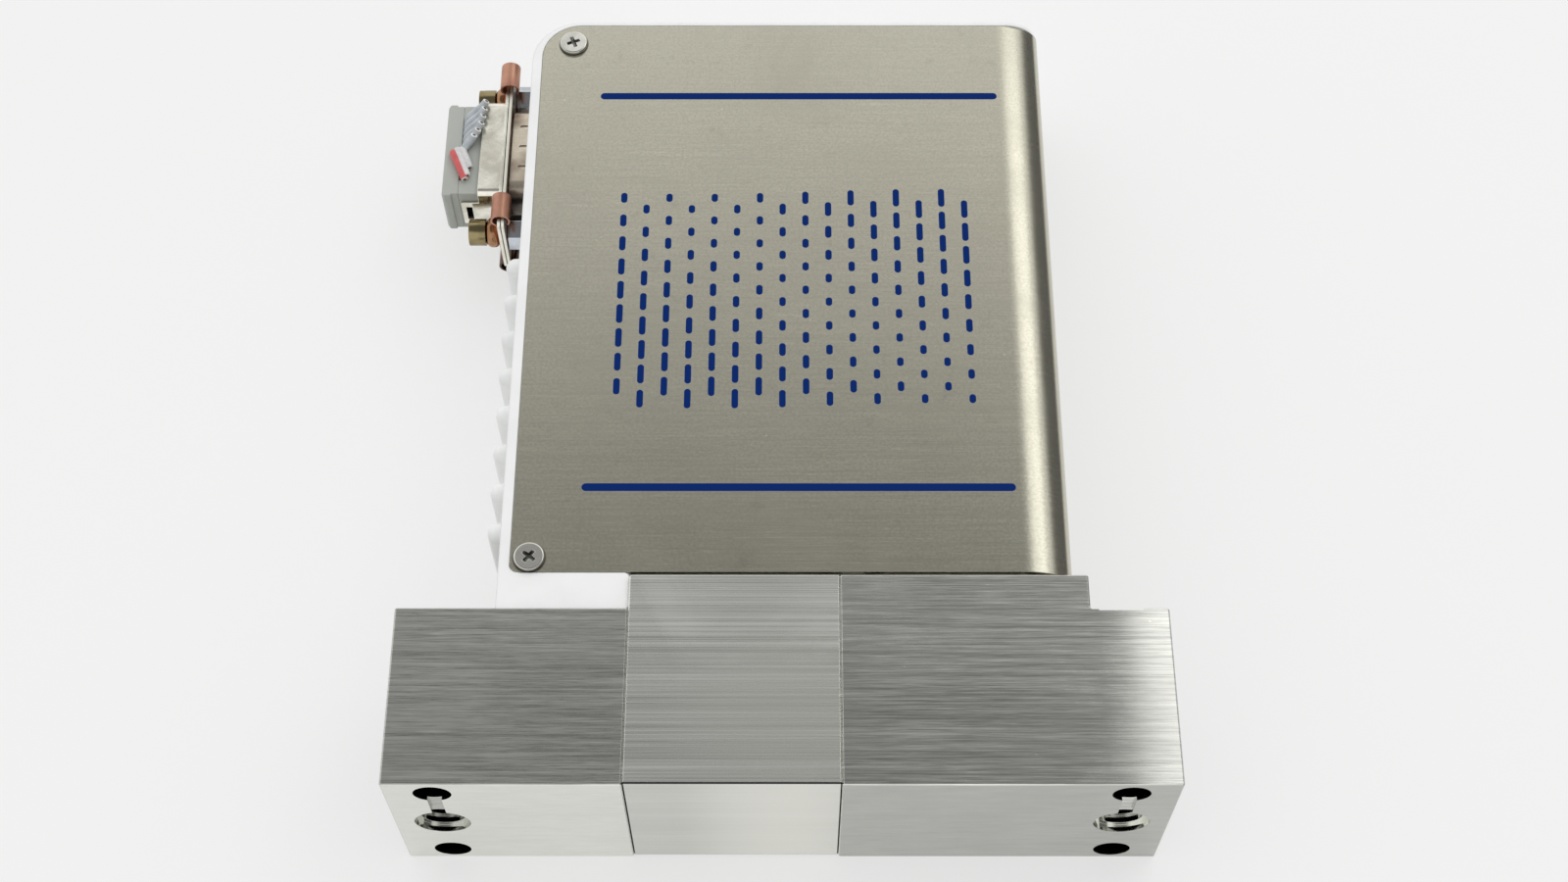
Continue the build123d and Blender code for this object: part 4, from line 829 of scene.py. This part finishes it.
class FLOW_OT_flange_clips(bpy.types.Operator):
    """Roll the copper clips that hold the plug's flange on the socket"""
    bl_idname = "flow.flange_clips"
    bl_label = "Flange clips"

    def execute(self, context):
        sizes = context.scene.flow_pieces
        axis_x, height, axis_up = (BASE_LEFT + 9.25) * MM, PLUG_MIDDLE[1], 6.25
        front, back, half_long, half_tall, bore = BASE_LEFT + 8.5, BASE_LEFT + 8.68, 2.3, 5.0, 1.34
        open_from, open_to = -118, -42  # degrees round the curl
        copper = plated_metal("rolled_copper", context.scene.flow_metals.copper, (0.30, 0.44),
                              tarnish=(0.40, 0.19, 0.14))
        # painted shade: the clips' curls on the -Z side are painted dark
        overlay(copper, spread(places(copper.node_tree)["Z"], 0.85, 0.0, -4.0 * MM, -2.0 * MM),
                (0.07, 0.05, 0.045))
        clips = []
        for along in JACKSCREWS:
            curls = []
            for side in (1, -1):
                axis = Vector((axis_x, along * MM, height * MM + side * axis_up * MM))
                rest()
                bpy.ops.mesh.primitive_cylinder_add(
                    vertices=60, radius=sizes.curl - sizes.curl_wall / 2, depth=sizes.clip,
                    end_fill_type="NOTHING", location=axis, rotation=(math.pi / 2, 0, 0))
                curl = settle(bpy.context.object)

                def open_side(face):
                    away = face.calc_center_median() - axis
                    return open_from < math.degrees(math.atan2(side * away.z, away.x)) < open_to
                choose(curl, "FACE", open_side)
                bpy.ops.mesh.delete(type="FACE")
                curls.append(apply(curl, "SOLIDIFY", thickness=sizes.curl_wall, offset=0.0))
            strip = bar("strip", (front, along - half_long, height - half_tall),
                        (back, along + half_long, height + half_tall))
            cut(strip, round_bar("cutter", (axis_x, along * MM, height * MM), bore * MM, 0.01, ALONG_X, 32))
            clips.append(soften(joined("clip", curls + [strip]), 0.06))
        clip = joined("flange_clip_pair", clips)
        finish_piece(clip, copper, "copper", "flange_clips")
        return {"FINISHED"}


class FLOW_OT_jackscrews(bpy.types.Operator):
    """Turn one slotted brass jackscrew and its copper bush, and set a copy at each end of the plug"""
    bl_idname = "flow.jackscrews"
    bl_label = "Jackscrews"

    def execute(self, context):
        sizes, metals = context.scene.flow_pieces, context.scene.flow_metals
        head_at, start, stop, tip = [(BASE_LEFT + x) * MM for x in (3.75, 6.35, 8.5, 13.2)]
        shank_radius, bore, half_slot, slot_deep = 1.28 * MM, 1.33 * MM, 0.36, 0.85
        head = round_bar("jackscrew", ((head_at + start) / 2, 0, 0), sizes.jack_head, start - head_at,
                         ALONG_X, 72)
        choose(head, "FACE", lambda f: f.normal.x < -0.9)
        bpy.ops.mesh.inset(thickness=0.55 * MM)
        bpy.ops.transform.translate(value=(-0.06 * MM, 0, 0))
        rest()
        slot = bar("slot", ((head_at / MM) - 1, -half_slot, -3), ((head_at / MM) + slot_deep, half_slot, 3))
        slot.rotation_euler.x = math.radians(-52)
        cut(head, settle(slot))
        soften(head, 0.16, 3)
        shank = round_bar("shank", ((start + tip) / 2, 0, 0), shank_radius, tip - start, ALONG_X, 40)
        screw = joined("jackscrew", [head, shank])
        bush = round_bar("bush", ((start + stop) / 2, 0, 0), sizes.bush, stop - start, ALONG_X, 64)
        choose(bush, "EDGE", lambda e: abs(e.verts[0].co.x - e.verts[1].co.x) < 1e-7)
        bpy.ops.mesh.bevel(offset=1.0 * MM, segments=9, profile=0.5, affect="EDGES")
        rest()
        cut(bush, round_bar("cutter", ((start + stop) / 2, 0, 0), bore, 0.01, ALONG_X, 40))
        take(bush)
        bpy.ops.object.shade_smooth_by_angle(angle=math.radians(30))
        brass = plated_metal("turned_brass", metals.brass, (0.14, 0.26), tarnish=(0.19, 0.145, 0.07))
        copper = plated_metal("polished_copper", metals.bush_copper, (0.05, 0.10), 0.16,
                              tarnish=(0.30, 0.14, 0.07), pitch=520.0)
        for number, along in enumerate(JACKSCREWS):
            for source, finish, slot_name, part, name in (
                    (screw, brass, "brass", "jackscrews", "jackscrew_%d"),
                    (bush, copper, "copper", "jackscrew_bushes", "jackscrew_bush_%d")):
                piece = copied(source, name % (number + 1))
                piece.location = (0, along * MM, PLUG_MIDDLE[1] * MM)
                finish_piece(settle(piece), finish, slot_name, part)
        for source in (screw, bush):
            bpy.data.objects.remove(source)
        return {"FINISHED"}


class FLOW_OT_ribbon(bpy.types.Operator):
    """Lay the cut stub of ribbon cable, conductor by conductor, with its red edge and bare ends"""
    bl_idname = "flow.ribbon"
    bl_label = "Ribbon stub"

    # for each conductor: where it leaves the slot along Y, its fold and its cut end, each as X and Y
    upper_arm = (
        (113.6, (-49.85, 114.2), (-46.80, 116.6)), (112.6, (-49.85, 112.9), (-46.95, 115.2)),
        (111.6, (-49.85, 111.6), (-47.10, 113.8)), (110.6, (-49.80, 110.3), (-47.30, 112.4)),
        (109.6, (-49.85, 109.1), (-47.75, 111.1)), (108.6, (-50.10, 108.1), (-48.30, 110.0)),
    )
    lower_arm = (
        (107.4, (-50.40, 108.9), (-48.80, 104.8)), (106.2, (-51.30, 109.1), (-49.10, 103.3)),
        (105.0, (-52.05, 108.7), (-49.45, 102.6)),
    )

    def route(self, leaves, fold, end, lift):
        """Points of one conductor: up out of the slot, folded over, along the plug and to its cut end."""
        along = Vector(end) - Vector(fold)
        half, near = Vector(fold) + along * 0.5, Vector(fold) + along * 0.82
        return ((-49.9, leaves, 3.9), (*fold, 5.45), (*half, 5.6 + 0.3 * lift), (*near, 5.5 + 0.6 * lift),
                (*end, 5.4 + 1.35 * lift))

    def conductor(self, name, points, radius):
        """One conductor's jacket through its points in millimetres."""
        rest()
        bpy.ops.curve.primitive_nurbs_path_add(location=(0, 0, 0))
        wire = bpy.context.object
        wire.name = name
        line = wire.data.splines[0]
        for point, place in zip(line.points, points):
            point.co = (*(Vector(place) * MM), 1.0)
        line.order_u, line.resolution_u, line.use_endpoint_u = 3, 10, True
        wire.data.bevel_depth, wire.data.bevel_resolution, wire.data.use_fill_caps = radius, 5, True
        take(wire)
        bpy.ops.object.convert(target="MESH")
        settle(wire)
        bpy.ops.object.shade_smooth_by_angle(angle=math.radians(40))
        return wire

    def execute(self, context):
        radius, plastics = context.scene.flow_pieces.conductor, context.scene.flow_plastics
        upper = [self.route(*row, 1.0) for row in self.upper_arm]
        lower = [self.route(*row, 0.0) for row in self.lower_arm]
        for name, routes, finish, tint in (
                ("ribbon_upper_arm", upper, "ribbon_grey", plastics.jacket),
                ("ribbon_lower_arm", lower[:-1], "ribbon_pale", plastics.insulation),
                ("ribbon_marked_edge", lower[-1:], "ribbon_red", plastics.marker)):
            arm = joined(name, [self.conductor(name, points, radius) for points in routes])
            finish_piece(arm, ribbon_finish(finish, tint), "ribbon_jacket", "ribbon_stub")
        ends, cores = [], []
        for points in upper + lower:
            tip, before = Vector(points[-1]) * MM, Vector(points[-2]) * MM
            aim = (tip - before).normalized()
            turn = aim.to_track_quat("Z", "Y").to_euler()
            ends.append(round_bar("end", tip, radius * 0.92, 0.16 * MM, turn, 24))
            cores.append(round_bar("core", tip + aim * 0.04 * MM, radius * 0.45, 0.18 * MM, turn, 16))
        cut_ends = soften(joined("ribbon_cut_ends", ends), 0.04)
        finish_piece(cut_ends, ribbon_finish("cut_insulation", (0.80, 0.80, 0.78)), "ribbon_jacket")
        strands = soften(joined("ribbon_cores", cores), 0.03)
        finish_piece(strands, plated_metal("bare_strand", (0.16, 0.11, 0.08), (0.35, 0.5)), "copper")
        return {"FINISHED"}


class FLOW_OT_socket(bpy.types.Operator):
    """Finish the socket: dimpled shell, hex posts, insulators and gilt contacts"""
    bl_idname = "flow.socket"
    bl_label = "Socket"

    def execute(self, context):
        plate = plated_metal("passivated_plate", context.scene.flow_metals.shell_plate, (0.24, 0.40), 0.05,
                             tarnish=(0.42, 0.34, 0.26))
        # painted shade: faces of the shell turned to -Y are painted dark
        overlay(plate, spread(facing(plate.node_tree, "Y"), 0.9, 0.0, -0.8, -0.3), (0.05, 0.035, 0.03))
        refine("dsub_shell", "socket_shell", 0.10, 2, plate, "dull_plate")
        post = plated_metal("post_plate", (0.60, 0.64, 0.68), (0.12, 0.22), 0.01, tarnish=(0.42, 0.46, 0.50))
        refine("jack_posts", "hex_posts", 0.12, 3, post, "nickel_plate")
        dress(moulding("black_insulator", context.scene.flow_plastics.black, (0.35, 0.5)), "dsub_insert",
              "plug_insulator")
        dress(plated_metal("contact_gilt", (0.80, 0.56, 0.20), (0.14, 0.24)), "dsub_pins")
        return {"FINISHED"}


class FLOW_OT_inner_works(bpy.types.Operator):
    """Finish what the cover and the base hold inside: sensor, transducer, valve and circuit board"""
    bl_idname = "flow.inner_works"
    bl_label = "Inner works"

    def execute(self, context):
        dress(moulding("seal_elastomer", (0.015, 0.015, 0.015), (0.55, 0.7), depth=0.02), "block_seals")
        for name, tint, roughness, *nodes in (
                ("turned_stainless", (0.56, 0.56, 0.54), (0.18, 0.30), "bypass_element", "sensor_base",
                 "sensor_tube", "pressure_transducer", "valve_seat", "valve_guide"),
                ("magnetic_steel", (0.42, 0.42, 0.43), (0.28, 0.42), "valve_plunger", "valve_core",
                 "valve_yoke"),
                ("spring_strip", (0.60, 0.58, 0.52), (0.2, 0.3), "valve_spring"),
                ("small_screws", (0.62, 0.62, 0.62), (0.16, 0.28), "sensor_screws", "valve_screws",
                 "housing_screws"),
                ("nut_brass", (0.66, 0.48, 0.22), (0.2, 0.34), "valve_nut")):
            dress(plated_metal(name, tint, roughness), *nodes)
        dress(plated_metal("blasted_aluminium", (0.62, 0.62, 0.64), (0.42, 0.55), 0.04, pitch=2200.0),
              "sensor_cover")
        dress(wound_wire("coil_wire", (0.50, 0.20, 0.08), 3200.0), "valve_coil", "sensor_windings")
        dress(moulding("natural_bobbin", (0.62, 0.56, 0.42), (0.4, 0.5)), "valve_bobbin")
        dress(moulding("board_laminate", (0.02, 0.16, 0.06), (0.22, 0.34)), "control_board")
        dress(moulding("package_epoxy", (0.025, 0.025, 0.028), (0.45, 0.6), depth=0.01), "board_components")
        return {"FINISHED"}


class FLOW_OT_studio(bpy.types.Operator):
    """Set the pale table, the room's soft light, the softbox and the camera"""
    bl_idname = "flow.studio"
    bl_label = "Studio"

    def table(self, studio):
        """The pale table, which rays from the camera and from metal see partly as plain white paper."""
        rest()
        bpy.ops.mesh.primitive_plane_add(size=6.0, location=(0, 0.06, UNDERSIDE * MM))
        table = settle(bpy.context.object)
        table.name = "table"
        material, shader, place = blank("pale_table")
        fill(shader, {"Base Color": mixed(noise(place, 6.0), shade(studio.floor, 0.99),
                                          shade(studio.floor, 1.01)),
                      "Roughness": 0.55, "Specular IOR Level": 0.25})
        ray = values(node(place.tree, "LightPath"))
        beyond = rising(split(place)["X"], 0.10, 0.17) * ray["Is Glossy Ray"]
        seen = ray["Is Camera Ray"].by("MAXIMUM", ray["Is Glossy Ray"]) * studio.glow
        paper = node(place.tree, "Emission", {"Color": (1, 1, 1), "Strength": 0.90 - beyond * 0.78})
        both = node(place.tree, "MixShader", {0: seen.by("MAXIMUM", beyond), 1: shader.outputs[0],
                                              2: paper.outputs[0]})
        fill(place.tree.nodes["Material Output"], {"Surface": both.outputs[0]})
        table.data.materials.append(material)

    def room(self, studio):
        """The room: an even light, what metal shows of it, and a white backdrop for the camera."""
        world = bpy.data.worlds.new("soft_room")
        world.use_nodes = True
        bpy.context.scene.world = world
        tree = world.node_tree
        tree.nodes.clear()
        up, ray = split(values(node(tree, "TexCoord"))["Generated"]), values(node(tree, "LightPath"))
        doorway = (rising(up["X"], 0.56, 0.70, "SMOOTHSTEP") * rising(up["Z"], 0.62, 0.46, "SMOOTHSTEP")
                   * studio.doorway)
        level = spread(up["Z"], studio.horizon, studio.zenith, 0.745, 0.905) * (1.0 - doorway)
        even = ((up["Z"] * 0.35 + up["Y"] * 0.40).by("MAXIMUM", -0.6) + 0.72) * studio.ambient
        soft, shown, backdrop = [
            node(tree, "Background", {"Color": (1, 1, 1), "Strength": strength}).outputs[0]
            for strength in (even, level, 1.0)]
        lit = node(tree, "MixShader", {0: ray["Is Glossy Ray"], 1: soft, 2: shown}).outputs[0]
        both = node(tree, "MixShader", {0: ray["Is Camera Ray"], 1: lit, 2: backdrop}).outputs[0]
        node(tree, "OutputWorld", {"Surface": both})

    def execute(self, context):
        studio = context.scene.flow_studio
        self.table(studio)
        self.room(studio)
        light = bpy.data.lights.new("softbox", "AREA")
        light.shape, light.size, light.size_y, light.energy = "RECTANGLE", 0.28, 0.50, studio.softbox
        box = stood("softbox", light)
        box.rotation_euler = [math.radians(a) for a in (-23.5, 31.0, 0.0)]
        aim, away = Vector((0, 0.06, 0)), Vector((0, 0, 0.8))
        box.location = aim + box.rotation_euler.to_matrix() @ away

        camera = bpy.data.cameras.new("camera")
        camera.lens, camera.sensor_width, camera.clip_start = studio.lens, 36.0, 0.01
        stand = stood("camera", camera)
        stand.location = (0.742 * MM, -104.605 * MM, 295.671 * MM)
        stand.rotation_euler = [math.radians(a) for a in (28.9719, 0.0731, 0.0529)]
        context.scene.camera = stand
        context.scene.view_settings.view_transform = "Standard"
        return {"FINISHED"}


class FLOW_PT_finish(bpy.types.Panel):
    """Sizes, colours and building steps of the flow controller"""
    bl_idname = "FLOW_PT_finish"
    bl_label = "Flow Controller"
    bl_space_type = "VIEW_3D"
    bl_region_type = "UI"
    bl_category = "Flow Controller"

    def draw(self, context):
        for name in GROUPS:
            group = getattr(context.scene, name)
            box = self.layout.box()
            for key in group.__annotations__:
                box.prop(group, key)
        for step in STEPS:
            self.layout.operator(step.bl_idname)


GROUPS = {"flow_metals": FLOW_PG_metals, "flow_plastics": FLOW_PG_plastics,
          "flow_pieces": FLOW_PG_pieces, "flow_studio": FLOW_PG_studio}
STEPS = (FLOW_OT_base_blocks, FLOW_OT_cover_sheet, FLOW_OT_end_housing, FLOW_OT_cover_screws,
         FLOW_OT_plug_moulding, FLOW_OT_plug_shells, FLOW_OT_flange_clips, FLOW_OT_jackscrews,
         FLOW_OT_ribbon, FLOW_OT_socket, FLOW_OT_inner_works, FLOW_OT_studio)
CLASSES = (*GROUPS.values(), *STEPS, FLOW_PT_finish)


def register():
    for kind in CLASSES:
        bpy.utils.register_class(kind)
    for name, group in GROUPS.items():
        setattr(bpy.types.Scene, name, bpy.props.PointerProperty(type=group))


def unregister():
    for name in GROUPS:
        delattr(bpy.types.Scene, name)
    for kind in reversed(CLASSES):
        bpy.utils.unregister_class(kind)


def main():
    register()
    bpy.ops.flow.base_blocks()
    bpy.ops.flow.cover_sheet()
    bpy.ops.flow.end_housing()
    bpy.ops.flow.cover_screws()
    bpy.ops.flow.plug_moulding()
    bpy.ops.flow.plug_shells()
    bpy.ops.flow.flange_clips()
    bpy.ops.flow.jackscrews()
    bpy.ops.flow.ribbon()
    bpy.ops.flow.socket()
    bpy.ops.flow.inner_works()
    bpy.ops.flow.studio()


if __name__ == "__main__":
    main()
